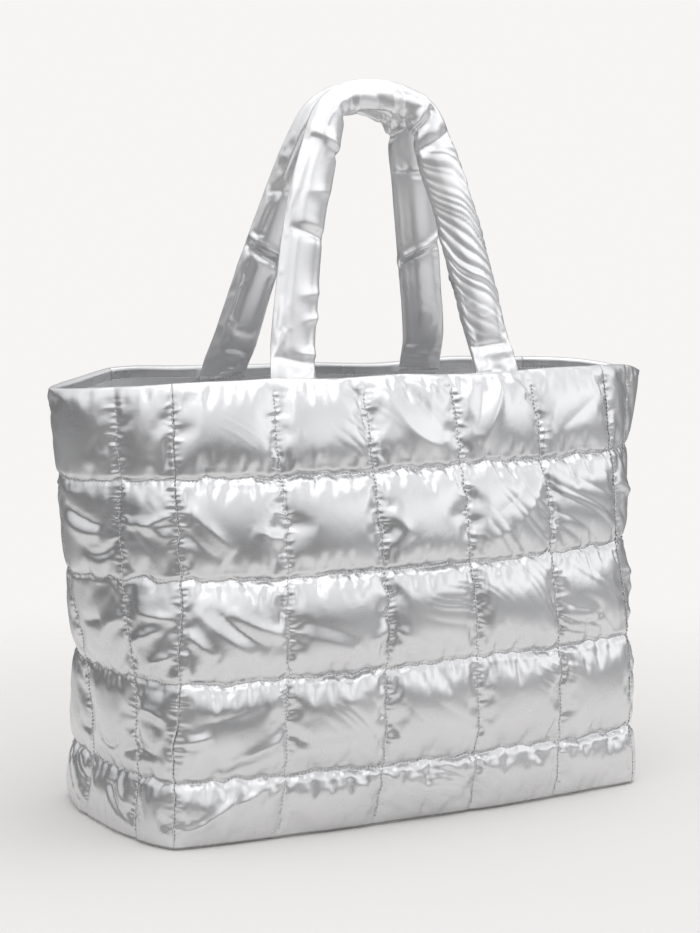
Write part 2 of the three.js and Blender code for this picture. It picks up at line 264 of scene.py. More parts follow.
columns = []
for wall in (FRONT, RIGHT, BACK, LEFT):
    place, cell, share = net_lines(WALL_LINES[wall], np.array(CELL_WIDTHS[wall]) * MM)
    columns.append({"wall": wall, "place": place, "cell": cell, "share": share})
wall_start = np.cumsum([0] + [len(c["place"]) for c in columns])
column_wall = np.concatenate([np.full(len(c["place"]), c["wall"]) for c in columns])
column_place = np.concatenate([c["place"] for c in columns])
column_share = np.concatenate([c["share"] for c in columns])
column_cell = np.concatenate([c["cell"] for c in columns])
column_count = wall_start[-1]

wall_height = rim_height - wall_foot
seam_heights = sections["height"].copy()
roll_start = 1 - ROLL_RADIUS / wall_height
cut_heights = np.append(seam_heights[:-1], roll_start)
row_place, row_cell, row_share = net_lines(cut_heights, np.diff(cut_heights) * wall_height)
row_share = np.where(row_cell == 4, (row_place - seam_heights[4]) / (1 - seam_heights[4]), row_share)
wall_rows = len(row_place)
print("net of", column_count, "columns and", wall_rows, "rows below the rim")

# %% [markdown]
# ## Folds that the photo shows
# A few larger folds cross the cells: long diagonal ones that fall from the handles, and others that
# fan out from the front left corner. They are charted as short curved lines. Each point is
# given in cells: columns from the left, rows down from the rim. On the gusset, columns count from the
# front corner. A fold is a soft ridge, or a groove where its height is negative. The cloth
# simulation then turns these into real folds.

# %% Chart the large folds
# Each row: start, middle and end in cells, half width in mm, height in mm
FRONT_FOLDS = (
    ((1.64, 0.05), (1.8, 0.55), (1.93, 0.88), 7, 3.5),
    ((1.8, 0.03), (1.95, 0.35), (2.02, 0.68), 6, -3.0),
    ((2.16, 0.06), (2.43, 0.58), (2.8, 0.78), 7, 4.0),
    ((2.36, 0.07), (2.58, 0.3), (2.85, 0.7), 7, -3.5),
    ((3.61, 0.05), (3.44, 0.4), (3.26, 0.8), 7, 4.5),
    ((3.34, 0.12), (3.27, 0.4), (3.18, 0.65), 6, -3.5),
    ((3.67, 0.03), (3.78, 0.17), (3.87, 0.3), 5, 2.5),
    ((4.85, 0.3), (4.54, 0.52), (4.18, 0.72), 9, -2.5),
    ((0.1, 1.27), (0.28, 1.5), (0.5, 1.72), 6, 3.5),
    ((0.04, 1.45), (0.2, 1.66), (0.38, 1.8), 6, -2.5),
    ((0.66, 1.5), (0.84, 1.58), (1.0, 1.63), 5, 2.5),
    ((2.09, 1.36), (2.21, 1.54), (2.3, 1.7), 5, 2.5),
    ((3.93, 1.09), (3.79, 1.4), (3.5, 1.66), 8, 2.6),
    ((3.5, 1.66), (3.33, 1.73), (3.12, 1.77), 7, 1.8),
    ((3.85, 1.05), (3.6, 1.35), (3.3, 1.5), 8, -2.5),
    ((0.1, 2.26), (0.39, 2.55), (0.66, 2.77), 6, 2.6),
    ((0.24, 2.24), (0.52, 2.5), (0.8, 2.68), 5, -3.0),
    ((0.43, 2.27), (0.66, 2.46), (1.0, 2.58), 6, 2.8),
    ((0.03, 2.47), (0.17, 2.62), (0.32, 2.74), 5, 2.5),
    ((1.02, 2.54), (1.4, 2.66), (1.64, 2.76), 7, 1.4),
    ((1.04, 2.44), (1.4, 2.52), (1.66, 2.66), 6, -1.2),
    ((1.75, 2.7), (2.03, 2.6), (2.28, 2.74), 7, 2.5),
    ((4.25, 2.45), (4.57, 2.68), (4.1, 2.82), 5, -2.5),
    ((0.03, 3.58), (0.15, 3.55), (0.3, 3.5), 4, 2.5),
    ((0.12, 3.4), (0.45, 3.34), (0.8, 3.24), 8, -2.5),
    ((0.35, 3.86), (0.62, 3.73), (1.0, 3.58), 6, 3.5),
    ((0.3, 3.96), (0.6, 3.84), (0.95, 3.7), 6, -3.0),
    ((1.03, 3.58), (1.42, 3.68), (1.74, 3.58), 6, -2.5),
    ((0.05, 4.78), (0.3, 4.6), (0.62, 4.08), 6, 3.0),
    ((0.5, 4.42), (0.7, 4.24), (0.87, 4.08), 5, 2.0),
)
GUSSET_FOLDS = (
    ((1.68, 1.28), (1.4, 1.4), (1.14, 1.47), 4, -3.5),
    ((1.68, 1.42), (1.4, 1.54), (1.18, 1.56), 6, 4.0),
    ((1.42, 1.62), (1.26, 1.77), (0.98, 1.58), 4, -3.0),
    ((0.95, 1.5), (0.56, 1.44), (0.12, 1.6), 5, 3.0),
    ((0.6, 1.46), (0.3, 1.4), (0.02, 1.34), 4, 2.5),
    ((1.72, 2.5), (1.5, 2.47), (1.33, 2.44), 4, -2.5),
    ((0.76, 2.32), (0.4, 2.35), (0.02, 2.37), 4, 3.0),
    ((1.0, 2.66), (0.6, 2.55), (0.18, 2.45), 5, 3.0),
    ((1.47, 2.72), (1.22, 2.47), (1.03, 2.43), 6, 3.0),
    ((0.62, 2.84), (0.32, 2.78), (0.02, 2.72), 4, 2.5),
    ((1.72, 3.45), (1.52, 3.76), (1.14, 3.57), 4, -3.0),
    ((1.33, 3.92), (1.0, 3.72), (0.12, 3.74), 5, -2.5),
    ((0.98, 3.36), (0.6, 3.3), (0.08, 3.4), 5, 3.0),
    ((1.5, 4.25), (1.34, 4.5), (1.06, 4.86), 4, -2.5),
    ((1.38, 4.12), (1.26, 4.36), (1.1, 4.6), 4, 2.5),
)

# Sizes of a cell, which turn cells into metres
PANEL_CELL = 84 * MM
GUSSET_CELL = 66 * MM
CELL_ROW = 79 * MM


def round_ridge(distance, width):
    return np.exp(-((distance / width) ** 2))


def sharp_ridge(distance, width):
    """A ridge with a fairly sharp crest, whose slope is gentler on one side."""
    reach = np.where(distance > 0, 1.7, 0.75) * width
    return np.exp(-(np.sqrt(distance**2 + (0.9 * MM) ** 2) - 0.9 * MM) / reach)


def fold_relief(folds, columns_at, rows_at, cell_width, ridge):
    """How far the charted folds raise the cloth, at places given in cells."""
    height = np.zeros(np.broadcast(columns_at, rows_at).shape)
    cell_size = np.array([cell_width, CELL_ROW])
    here = np.stack(np.broadcast_arrays(columns_at, rows_at), -1) * cell_size
    for start, middle, end, half_width, rise in folds:
        a, b, c = (np.array(p) * cell_size for p in (start, middle, end))
        b = 2 * b - (a + c) / 2
        t = np.linspace(0, 1, 13)[:, None]
        on_fold = (1 - t) ** 2 * a + 2 * t * (1 - t) * b + t * t * c
        nearest, at, side = np.full(height.shape, 1e9), np.zeros(height.shape), np.ones(height.shape)
        for k, (p, q) in enumerate(zip(on_fold[:-1], on_fold[1:])):
            way = q - p
            share = np.clip(((here - p) @ way) / (way @ way), 0, 1)
            off = here - p - share[..., None] * way
            distance = np.linalg.norm(off, axis=-1)
            closer = distance < nearest
            nearest = np.where(closer, distance, nearest)
            at = np.where(closer, (k + share) / 12, at)
            side = np.where(closer, np.sign(way[0] * off[..., 1] - way[1] * off[..., 0]), side)
        taper = np.clip(1 - (2 * at - 1) ** 2, 0, 1) ** 0.8
        height = height + rise * MM * taper * ridge(nearest * side, half_width * MM)
    return height


def wall_relief(wall, columns_at, rows_at, ridge):
    if wall in (FRONT, BACK):
        return fold_relief(FRONT_FOLDS, columns_at, rows_at, PANEL_CELL, ridge)
    at = 3 - columns_at if wall == LEFT else columns_at
    return fold_relief(GUSSET_FOLDS, at, rows_at, GUSSET_CELL, ridge)


print(len(FRONT_FOLDS) + len(GUSSET_FOLDS), "large folds charted")

# %% [markdown]
# ## Free waves in the cloth
# Real filling is lumpy. Smooth random waves, made from a seeded generator and softened to a chosen
# size, keep two cells from ever being alike.


# %% Make smooth random waves
def soft_waves(shape, size, seed):
    """Smooth random heights with a spread of 1. size is the waves' size in net steps."""
    waves = np.random.default_rng(seed).normal(size=shape)
    across = np.fft.fftfreq(shape[1])[None, :]
    up = np.fft.fftfreq(shape[0])[:, None]
    keep = np.exp(-(across**2 + up**2) * (size * np.pi) ** 2)
    waves = np.real(np.fft.ifft2(np.fft.fft2(waves) * keep))
    return waves / waves.std()


# %% [markdown]
# ## The net before it is gathered
# Each cell starts as a low crown over its seams, with the charted folds and the random waves on it.
# The rows above the wall roll over the rim as a half circle and run down to the facing seam.


# %% Place the net's points
START_PUFF = 0.55  # share of the full puff that the cells start with
BROAD_FOLD = 0.5  # share of each fold that is there before the cloth is gathered
RIM_PUFF = 0.4  # share of the puff that is left at the rim
UPRIGHT_DEPTH = 0.42  # the upright seams are only this deep beside the level ones
FOOT_DROP_BELOW = 3.5 * MM  # the foot curls down this far, beside the floor pad
# Where the rim stands higher: share of the way round from the front left corner, rise in mm, reach
RIM_LIFTS = ((0.835, 4.5, 0.05), (0.78, 2.5, 0.06), (0.42, -7, 0.035))
RIGHT_SPREAD = 9 * MM  # the right gusset's rim reaches further out than the left one's


def crown(share):
    return np.sqrt(np.maximum(1 - np.abs(2 * share - 1) ** 3, 0))


def row_crown(share, cell):
    """The lowest cells curl under at the foot, and the highest ones fall gently to the rim."""
    curled = np.where(cell == 0, crown((share + 0.06) / 1.06), crown(share))
    falling = 1 - (1 - RIM_PUFF) * np.clip(2 * share - 1, 0, 1) ** 1.7
    return np.where((cell == 4) & (share > 0.5), falling, curled)


def ring_of(height):
    """The seam surface and the outward direction all the way round, for an array of heights."""
    points = np.zeros((len(height), column_count, 3))
    out = np.zeros_like(points)
    for wall in (FRONT, RIGHT, BACK, LEFT):
        pick = column_wall == wall
        points[:, pick] = wall_point(wall, column_place[pick][None, :], height[:, None])
        out[:, pick] = outward_of(wall, column_place[pick][None, :], height[:, None])
    for wall in (FRONT, RIGHT, BACK, LEFT):
        corner = wall_start[wall]
        before = outward_of((wall + 3) % 4, np.array([1.0]), height[:, None])[:, 0]
        out[:, corner] = unit(before + out[:, corner])
    return points, out


seam_points, seam_out = ring_of(row_place)
full_puff = np.zeros((wall_rows, column_count))
for wall in (FRONT, RIGHT, BACK, LEFT):
    pick = np.nonzero(column_wall == wall)[0]
    fullness = np.array(FULLNESS[wall])[column_cell[pick]]
    row_puff = np.interp(row_place, seam_heights, np.append(sections["puff"][:-1], 0.75))
    full_puff[:, pick] = PUFF_HEIGHT * fullness[None, :] * row_puff[:, None]
row_rise, column_rise = row_crown(row_share, row_cell)[:, None], crown(column_share)[None, :]
cell_crown = row_rise * (1 - UPRIGHT_DEPTH + UPRIGHT_DEPTH * column_rise)

rows_down = np.interp(-row_place, -seam_heights[::-1], np.arange(6))
relief = np.zeros((wall_rows, column_count))
for wall in (FRONT, RIGHT, BACK, LEFT):
    pick = np.nonzero(column_wall == wall)[0]
    at = column_cell[pick] + column_share[pick]
    relief[:, pick] = wall_relief(wall, at[None, :], rows_down[:, None], round_ridge) * BROAD_FOLD

broad = soft_waves((wall_rows, column_count), 7, 11) * 0.9 * MM
loose = np.minimum(row_rise * column_rise * 1.6, 1)
swell = START_PUFF * full_puff * cell_crown + (relief + broad) * loose
start_points = seam_points + seam_out * (SEAM_SKIN + swell)[..., None]

# The thread never runs quite straight: seams wander a little to each side
on_column = column_share == 0
seam_rows = np.searchsorted(row_place, seam_heights[:-1] - 1e-9)


def wander(count, seed):
    near, far = soft_waves((1, count), 1.3, seed)[0], soft_waves((1, count), 9, seed + 500)[0]
    return (near * 0.75 + far * 0.8) * MM


BESIDE_SEAM = ((-2, 0.3), (-1, 0.7), (0, 1), (1, 0.7), (2, 0.3))  # how much each neighbour follows
aside = np.zeros((wall_rows, column_count))
for seam in np.nonzero(on_column)[0]:
    drift = wander(wall_rows, 100 + int(seam))
    for offset, share in BESIDE_SEAM:
        aside[:, (seam + offset) % column_count] += drift * share
sideways = unit(np.roll(seam_points, -1, 1) - np.roll(seam_points, 1, 1))
start_points += sideways * (aside * np.clip((1 - row_place[:, None]) * 12, 0, 1))[..., None]
for seam in seam_rows[1:]:
    drift = wander(column_count, 300 + int(seam))
    for offset, share in BESIDE_SEAM:
        start_points[seam + offset, :, 2] += drift * share

# The rim's own rises, and the rows that roll over it and run down inside

roll_angles = np.radians([45, 90, 135, 180])
facing_drops = np.array([2.5 * MM, 5 * MM, FACING_DROP - ROLL_RADIUS])
rim_points, rim_out = ring_of(np.array([1.0]))
rim_points, rim_out = rim_points[0], rim_out[0]
rim_raise = soft_waves((1, column_count), 9, 13)[0] * 0.8 * MM
for place, rise, reach in RIM_LIFTS:
    off = np.arange(column_count) - place * column_count + column_count / 2
    off = off % column_count - column_count / 2
    rim_raise += rise * MM * np.exp(-((off / (reach * column_count)) ** 2))
rim_points[:, 2] += rim_raise
start_points[..., 2] += rim_raise[None, :] * row_place[:, None] ** 8
spread = np.where(column_wall == RIGHT, RIGHT_SPREAD * (1 - column_place**2), 0)
rim_points[:, 0] += spread
start_points[..., 0] += spread[None, :] * row_place[:, None] ** 6
rim_swell = swell[-1][:, None]
roll_radius = ROLL_RADIUS + rim_swell / 2
rim_line = rim_points + rim_out * (SEAM_SKIN + rim_swell - roll_radius)
up = np.array([0, 0, 1.0])
roll_rows = []
for angle in roll_angles:
    rise = up * (ROLL_RADIUS * math.sin(angle) - ROLL_RADIUS)
    roll_rows.append(rim_line + rim_out * roll_radius * math.cos(angle) + rise)
for drop in facing_drops:
    roll_rows.append(rim_line - rim_out * roll_radius - up * (ROLL_RADIUS + drop))
start_points[0, :, 2] -= FOOT_DROP_BELOW
start_points[1, :, 2] -= FOOT_DROP_BELOW * 0.4
start_points = np.concatenate([start_points, np.array(roll_rows)])
net_rows = len(start_points)
print("net has", net_rows * column_count, "points; tallest start", round(float(swell.max() / MM), 1), "mm")

# %% [markdown]
# ## Sewing the cloth down
# Blender's Cloth gathers the cells. The seams are pinned, as the thread pins them. Everything
# between them is given more cloth than the gap it covers, most of all beside the seams, so it has to
# buckle. A light pressure stands in for the filling, and a little weight lets the cells sag. This is
# the same way that a real quilted cell gets its puckers, so they come out uneven on their own.

# %% Simulate a net of cloth
FRAMES_TO_REST = 22
CLOTH_VALUES = {
    "quality": 5,
    "mass": 0.02,
    "tension_stiffness": 20,
    "compression_stiffness": 20,
    "shear_stiffness": 8,
    "tension_damping": 0.5,
    "compression_damping": 0.5,
    "shear_damping": 0.5,
    "bending_damping": 0.5,
    "air_damping": 0.5,
    "vertex_group_mass": "held",
    "pin_stiffness": 1,
    "vertex_group_shrink": "taut",
    "use_pressure": True,
}


def gather(
    name, points, faces, pinned, slack, pressure, most_excess, least_excess, stiffness, weight, furthest
):
    """Lets cloth settle. pinned and slack are 0 to 1 per point. Returns the settled points."""
    piece = piece_from_faces(name, points, faces)
    held = piece.vertex_groups.new(name="held")
    taut = piece.vertex_groups.new(name="taut")
    pin_levels, taut_levels = np.round(pinned, 2), np.round(1 - slack, 1)
    for level in np.unique(pin_levels[pin_levels > 0]):
        held.add(np.nonzero(pin_levels == level)[0].tolist(), float(level), "REPLACE")
    for level in np.unique(taut_levels):
        taut.add(np.nonzero(taut_levels == level)[0].tolist(), float(level), "REPLACE")
    make_active(piece)
    cloth = piece.modifiers.new("Cloth", "CLOTH")
    cloth.collision_settings.use_collision = False
    cloth.collision_settings.use_self_collision = False
    settings = cloth.settings
    for key, value in CLOTH_VALUES.items():
        setattr(settings, key, value)
    settings.bending_stiffness = stiffness
    settings.shrink_min = -most_excess
    settings.shrink_max = -least_excess
    settings.uniform_pressure_force = pressure
    settings.effector_weights.gravity = weight
    cloth.point_cache.frame_start = 1
    cloth.point_cache.frame_end = FRAMES_TO_REST + 1
    for step in range(1, FRAMES_TO_REST + 1):
        bpy.context.scene.frame_set(step)
    bpy.ops.object.modifier_apply(modifier="Cloth")
    settled = np.empty(len(points) * 3)
    piece.data.vertices.foreach_get("co", settled)
    moved = settled.reshape(-1, 3) - points
    length = np.linalg.norm(moved, axis=1, keepdims=True)
    bpy.data.objects.remove(piece)
    bpy.context.scene.frame_set(1)
    return points + moved * np.minimum(1, furthest / np.maximum(length, 1e-9))


# %% Pin the seams and gather the walls
SEAM_PULL = 18 * MM  # the cloth has extra fullness this far from a seam

pins = np.zeros((net_rows, column_count))
pins[seam_rows, :] = 1
stitched_rows = np.arange(net_rows) < wall_rows - 2
pins[np.ix_(stitched_rows, on_column)] = 1
pins[wall_rows:] = 1

column_width = np.concatenate([np.array(CELL_WIDTHS[w])[columns[w]["cell"]] * MM for w in range(4)])
from_column = np.minimum(column_share, 1 - column_share) * column_width
row_size = np.diff(seam_heights)[row_cell] * wall_height
from_row = np.minimum(row_share, 1 - row_share) * row_size
near_seam = 1 - np.minimum(np.minimum(from_column[None, :], from_row[:, None]) / SEAM_PULL, 1)
slack = np.zeros((net_rows, column_count))
slack[:wall_rows] = near_seam

numbers = np.arange(net_rows * column_count).reshape(net_rows, column_count)
ring_numbers = np.concatenate([numbers, numbers[:, :1]], 1)
settled = gather(
    "walls_net",
    start_points.reshape(-1, 3),
    [grid_faces(ring_numbers)],
    pins.reshape(-1),
    slack.reshape(-1),
    pressure=70,
    most_excess=0.035,
    least_excess=0.02,
    stiffness=0.9,
    weight=0.35,
    furthest=8 * MM,
).reshape(net_rows, column_count, 3)
# Even out ripples from row to row, with the seams kept
moved_by = settled - start_points
eased = moved_by.copy()
eased[1:-1] = moved_by[:-2] * 0.25 + moved_by[1:-1] * 0.5 + moved_by[2:] * 0.25
settled = start_points + eased * (pins[..., None] == 0)
moved = np.linalg.norm(settled - start_points, axis=-1)
print("walls settled: cloth moved", round(float(moved.mean() / MM), 2), "mm on average")

# %% [markdown]
# ## A finer net
# The settled net is redrawn three times as fine, along smooth curves through its points, so that the
# shine runs smoothly and there are enough points for the small puckers at the stitching.


# %% Refine a net along smooth curves
def refine(points, parts, closed):
    """Points of a net with parts times as many steps along its first axis."""
    if closed:
        padded = np.concatenate([points[-1:], points, points[:2]])
    else:
        first = 2 * points[:1] - points[1:2]
        last = 2 * points[-1:] - points[-2:-1]
        padded = np.concatenate([first, points, last])
    before, here, after, beyond = padded[:-3], padded[1:-2], padded[2:-1], padded[3:]
    made = np.zeros((len(here), parts) + points.shape[1:])
    for k in range(parts):
        t = k / parts
        made[:, k] = 0.5 * (
            2 * here
            + (after - before) * t
            + (2 * before - 5 * here + 4 * after - beyond) * t**2
            + (3 * here - before - 3 * after + beyond) * t**3
        )
    made = made.reshape((-1,) + points.shape[1:])
    return made if closed else np.concatenate([made, points[-1:]])


def grid_normals(points, closed_across):
    """Outward normals of a net whose rows go up and whose columns go round."""
    if closed_across:
        across = np.roll(points, -1, 1) - np.roll(points, 1, 1)
    else:
        across = np.gradient(points, axis=1)
    return unit(np.cross(across, np.gradient(points, axis=0)))


PARTS = 3
fine_net = refine(settled, PARTS, closed=False)
fine_net = refine(fine_net.transpose(1, 0, 2), PARTS, closed=True).transpose(1, 0, 2)
fine_rows, fine_columns = fine_net.shape[:2]
print("fine net", fine_rows, "by", fine_columns)

# %% [markdown]
# ## Small puckers at the stitching
# Right beside the thread the real cloth is drawn into many tiny pleats, finer than the simulated
# cloth can fold. Beside the upright seams and below the level ones each is a pointed ridge that
# starts at the thread and slants a little. Above a level seam the cloth hangs over in wider, round
# scallops. They are added along the surface's own normals, with seeded random places and sizes.

# %% Add the small pleats beside every seam
CRISP_FOLD = 0.5  # share of each fold that is added with a sharp crest
SLANTING_RISE = 0.85 * MM
CLEAR_OF_SEAM = 7  # the folds fade out over one part in twice this of a cell
# Puckers beside the level seams: side (-1 is below), pitch, reach and rise in mm
LEVEL_PUCKERS = ((-1, 10, 10, 0.9), (1, 17, 7, 0.55), (-1, 5, 6, 0.8), (1, 6, 4, 0.4))

pleat_random = np.random.default_rng(21)
normals = grid_normals(fine_net, closed_across=True)
steps_up = np.linalg.norm(np.diff(fine_net, axis=0), axis=-1).mean(1)
fine_up = np.concatenate([[0], np.cumsum(steps_up)])
steps_round = np.linalg.norm(np.roll(fine_net, -1, 1) - fine_net, axis=-1).mean(0)
fine_round = np.concatenate([[0], np.cumsum(steps_round)])[:-1]
pleats = np.zeros((fine_rows, fine_columns))


def lobes(at, pitch, rise, vary=0.6):
    """Round lobes of uneven width side by side, with sharp valleys between them.

    Returns for every place the height, its lobe's number, the share across it and its full height.
    """
    low, high = float(at.min()) - pitch, float(at.max()) + pitch
    count = int((high - low) / pitch * 1.6) + 4
    widths = pitch * pleat_random.uniform(1 - vary, 1 + vary, count)
    edges = low + np.concatenate([[0], np.cumsum(widths)])
    number = np.clip(np.searchsorted(edges, at) - 1, 0, count - 1)
    share = np.clip((at - edges[number]) / (edges[number + 1] - edges[number]), 0, 1)
    tall = (rise * pleat_random.uniform(0.35, 1.2, count))[number]
    return tall * (np.sin(np.pi * share) ** 0.8 - 0.25), number, share, tall


def pleat_row(along, away, pitch, reach, rise, peaked=False):
    """Puckers on one side of a seam: away is the distance from it, and along the way on it."""
    turns = np.linspace(float(along.min()), float(along.max()), 60)
    slant = np.interp(along, turns, pleat_random.uniform(-0.4, 0.4, 60))
    height, number, share, tall = lobes(along - slant * away, pitch, rise)
    reaches = reach * pleat_random.choice((0.6, 0.8, 0.9, 1.2, 1.5, 1.8), number.max() + 1)
    if peaked:
        point = np.maximum(1 - away / reaches[number] - np.abs(2 * share - 1), 0)
        return tall * point * (0.4 + 0.6 * np.minimum(away / (1.5 * MM), 1))
    fade = np.clip(1 - away / reaches[number], 0, 1) ** 1.4
    return height * fade * (0.35 + 0.65 * np.minimum(away / (2.5 * MM), 1))


def level_puckers(seam, side, count, pitch, reach, rise, peaked=False):
    """Adds puckers to the rows on one side of a level seam. Sizes are in mm."""
    pick = seam + side * np.arange(0, count)
    pick = pick[pick >= 0]
    away = np.abs(fine_up[pick] - fine_up[seam])
    pleats[pick] += pleat_row(
        fine_round[None, :], away[:, None], pitch * MM, reach * MM, rise * MM, peaked
    )


def from_edge(at):
    """0 on a seam and 1 in the middle of a cell, for places given in cells."""
    return 1 - np.abs(at % 1 - 0.5) * 2


fine_seam_rows = seam_rows * PARTS
fine_seam_columns = np.nonzero(on_column)[0] * PARTS
stitched_top = (wall_rows - 2) * PARTS
upright = fine_up[:stitched_top, None]
upper = np.interp(upright, [0, wall_height * 0.35, wall_height * 0.6], [0.45, 0.65, 1])
for seam in fine_seam_columns:
    for side in (-1, 1):
        pick = (seam + side * np.arange(0, 15)) % fine_columns
        away = np.concatenate([[0], np.cumsum(steps_round[pick[:-1]])])
        made = pleat_row(upright, away[None, :], 5 * MM, 7 * MM, 1.5 * MM, peaked=True)
        pleats[:stitched_top, pick] += made * upper
for seam in fine_seam_rows[1:]:
    for side, pitch, reach, rise in LEVEL_PUCKERS:
        level_puckers(seam, side, 20, pitch, reach, rise, peaked=side < 0)
level_puckers(fine_rows - 1, -1, 10, 13, 6, 0.45)
level_puckers(0, 1, 10, 13, 6, 0.45)

# The charted folds again, with sharp crests, kept clear of the seams
wall_top = wall_rows * PARTS
fine_down = np.interp(np.arange(wall_top) / PARTS, np.arange(wall_rows), rows_down)
across_cell = np.zeros(fine_columns)
crisp = np.zeros((wall_top, fine_columns))
for wall in (FRONT, RIGHT, BACK, LEFT):
    first, last = wall_start[wall], wall_start[wall + 1]
    span = slice(first * PARTS, last * PARTS)
    at = np.append(column_cell[first:last] + column_share[first:last], column_cell[last - 1] + 1)
    fine_at = np.interp(np.arange((last - first) * PARTS) / PARTS, np.arange(last - first + 1), at)
    across_cell[span] = fine_at
    made = wall_relief(wall, fine_at[None, :], fine_down[:, None], sharp_ridge) * CRISP_FOLD
    crisp[:, span] = made * np.clip(from_edge(fine_at) * CLEAR_OF_SEAM, 0, 1)[None, :]
from_level_seam = from_edge(fine_down)[:, None] * CLEAR_OF_SEAM
pleats[:wall_top] += crisp * np.clip(from_level_seam, 0, 1)

# Long slanting folds in patches, as satin makes between two seams
patches = np.clip(soft_waves((wall_top, fine_columns), 34, 14) * 0.9, 0, 1.3)
sway = soft_waves((wall_top, fine_columns), 30, 15) * 9 * MM
across_down = fine_round[None, :] * 0.8 + fine_up[:wall_top, None] * 1.1 + sway
slanting = lobes(across_down, 15 * MM, SLANTING_RISE, vary=0.7)[0]
between = np.clip(from_level_seam * np.clip(from_edge(across_cell) * 5, 0, 1)[None, :], 0, 1)
pleats[:wall_top] += slanting * patches * between
fine_net = fine_net + normals * pleats[..., None]
print("pleats up to", round(float(pleats.max() / MM), 2), "mm")

# %% [markdown]
# ## The lining and the walls as solid pieces
# Each wall is cut from the net between its corner seams. A plainer lining closes its inside, and
# narrow strips join the two along the foot and the corners, so every wall is one closed body.


# %% Close a wall with its lining
LINING_STEP = 4  # the lining has one row for this many rows of the outer net


def zip_edges(near, far):
    """Triangles between two chains of point numbers that run the same way."""
    triangles = []
    i = j = 0
    while i < len(near) - 1 or j < len(far) - 1:
        next_near = (i + 1) / (len(near) - 1)
        next_far = (j + 1) / (len(far) - 1)
        if j == len(far) - 1 or (i < len(near) - 1 and next_near <= next_far):
            triangles.append((near[i], near[i + 1], far[j]))
            i += 1
        else:
            triangles.append((near[i], far[j + 1], far[j]))
            j += 1
    return np.array(triangles)


# Slow waves all over the lining, and upright gathers that fade below the rim
lining_waves = soft_waves((wall_rows, column_count), 5, 31) * 0.8 * MM
below_rim = (1 - row_place) * wall_height
gathered = np.exp(-below_rim / (40 * MM))[:, None]
lining_waves = lining_waves + soft_waves((1, column_count), 2, 33) * gathered * 1.2 * MM
facing_line = settled[-1]
lining_rows = np.arange(0, wall_rows, LINING_STEP)
lining_rows = lining_rows[row_place[lining_rows] < 1 - (FACING_DROP + 2 * MM) / wall_height]


def wall_piece(wall):
    """One wall: the outer cloth, the rolled rim and the lining, as one closed mesh."""
    first, last = wall_start[wall], wall_start[wall + 1]
    outer_pick = np.arange(first * PARTS, last * PARTS + 1) % fine_columns
    outer = fine_net[:, outer_pick]
    coarse = np.arange(first, last + 1) % column_count
    points_in, out_in = seam_points[lining_rows][:, coarse], seam_out[lining_rows][:, coarse]
    depth = LINING_DEPTH + lining_waves[lining_rows][:, coarse]
    depth[:, [0, -1]] = LINING_DEPTH
    lining = points_in - out_in * depth[..., None]
    lining = np.concatenate([lining, facing_line[None, coarse]])
    outer_numbers = np.arange(outer.shape[0] * outer.shape[1]).reshape(outer.shape[:2])
    top_fine = outer_numbers[-1]
    inner_numbers = outer_numbers.size + np.arange((len(lining) - 1) * len(coarse)).reshape(-1, len(coarse))
    points = np.concatenate([outer.reshape(-1, 3), lining[:-1].reshape(-1, 3)])
    faces = [grid_faces(outer_numbers), grid_faces(inner_numbers)[:, ::-1]]
    faces.append(zip_edges(inner_numbers[-1], top_fine)[:, ::-1])
    faces.append(zip_edges(outer_numbers[0], inner_numbers[0])[:, ::-1])
    level = int(np.argmax(outer[:, 0, 2] > lining[-2, 0, 2]))
    for edge, flip in ((0, 1), (-1, -1)):
        strip = zip_edges(outer_numbers[: level + 1, edge], inner_numbers[:, edge])
        faces.append(strip[:, ::flip])
        cap = list(outer_numbers[level:, edge])
        fan = np.array([(cap[k], cap[k + 1], inner_numbers[-1, edge]) for k in range(len(cap) - 1)])
        faces.append(fan[:, ::flip])
    piece = piece_from_faces(WALL_NODES[wall].replace("panel", "wall") + "_cloth", points, faces)
    finish = np.ones(len(piece.data.polygons), np.int32)
    finish[: len(faces[0])] = 0
    piece.data.polygons.foreach_set("material_index", finish)
    lay_out_cloth(piece, outer, len(lining) - 1)
    return piece


def lay_out_cloth(piece, outer, lining_count):
    """A UV map in metres of cloth: across the wall and up it."""
    steps = np.linalg.norm(np.diff(outer, axis=1), axis=-1).mean(0)
    across = np.concatenate([[0], np.cumsum(steps)])
    outer_map = np.stack(np.broadcast_arrays(across[None, :], fine_up[:, None]), -1).reshape(-1, 2)
    lining_up = np.arange(lining_count)[:, None] * NET_STEP * LINING_STEP
    lining_map = np.stack(np.broadcast_arrays(across[::PARTS][None, :], lining_up), -1)
    cloth_map = np.concatenate([outer_map, lining_map.reshape(-1, 2)])
    layer = piece.data.uv_layers.new(name="cloth")
    corners = np.empty(len(piece.data.loops), np.int32)
    piece.data.loops.foreach_get("vertex_index", corners)
    layer.data.foreach_set("uv", cloth_map[corners].astype(np.float32).reshape(-1))


walls = {wall: wall_piece(wall) for wall in (FRONT, RIGHT, BACK, LEFT)}
for wall, piece in walls.items():
    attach(piece, "root")
    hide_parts(WALL_NODES[wall])
    print(piece.name, len(piece.data.polygons), "faces")

# %% [markdown]
# ## The handles
# Each handle is one long padded tube. It rises from a foot inside its wall, leans in, turns over at
# the top and comes down to the other foot. Its middle follows the same short table of places as the
# solid model. The tube is sewn along its outer edge, which the photo shows as a fine line.

# %% Routes of the handles
HANDLE_RISE = 228 * MM
FOOT_DROP = 12 * MM
FOOT_SPACING = 194 * MM
HANDLE_WIDTH = 42 * MM
HANDLE_THICKNESS = 25 * MM
HANDLE_GAP = 0.8 * MM
FOOT_CLEARANCE = 0.7 * MM
CLOTH_CROSSES = 26  # points round a handle
HANDLE_STEPS = 150

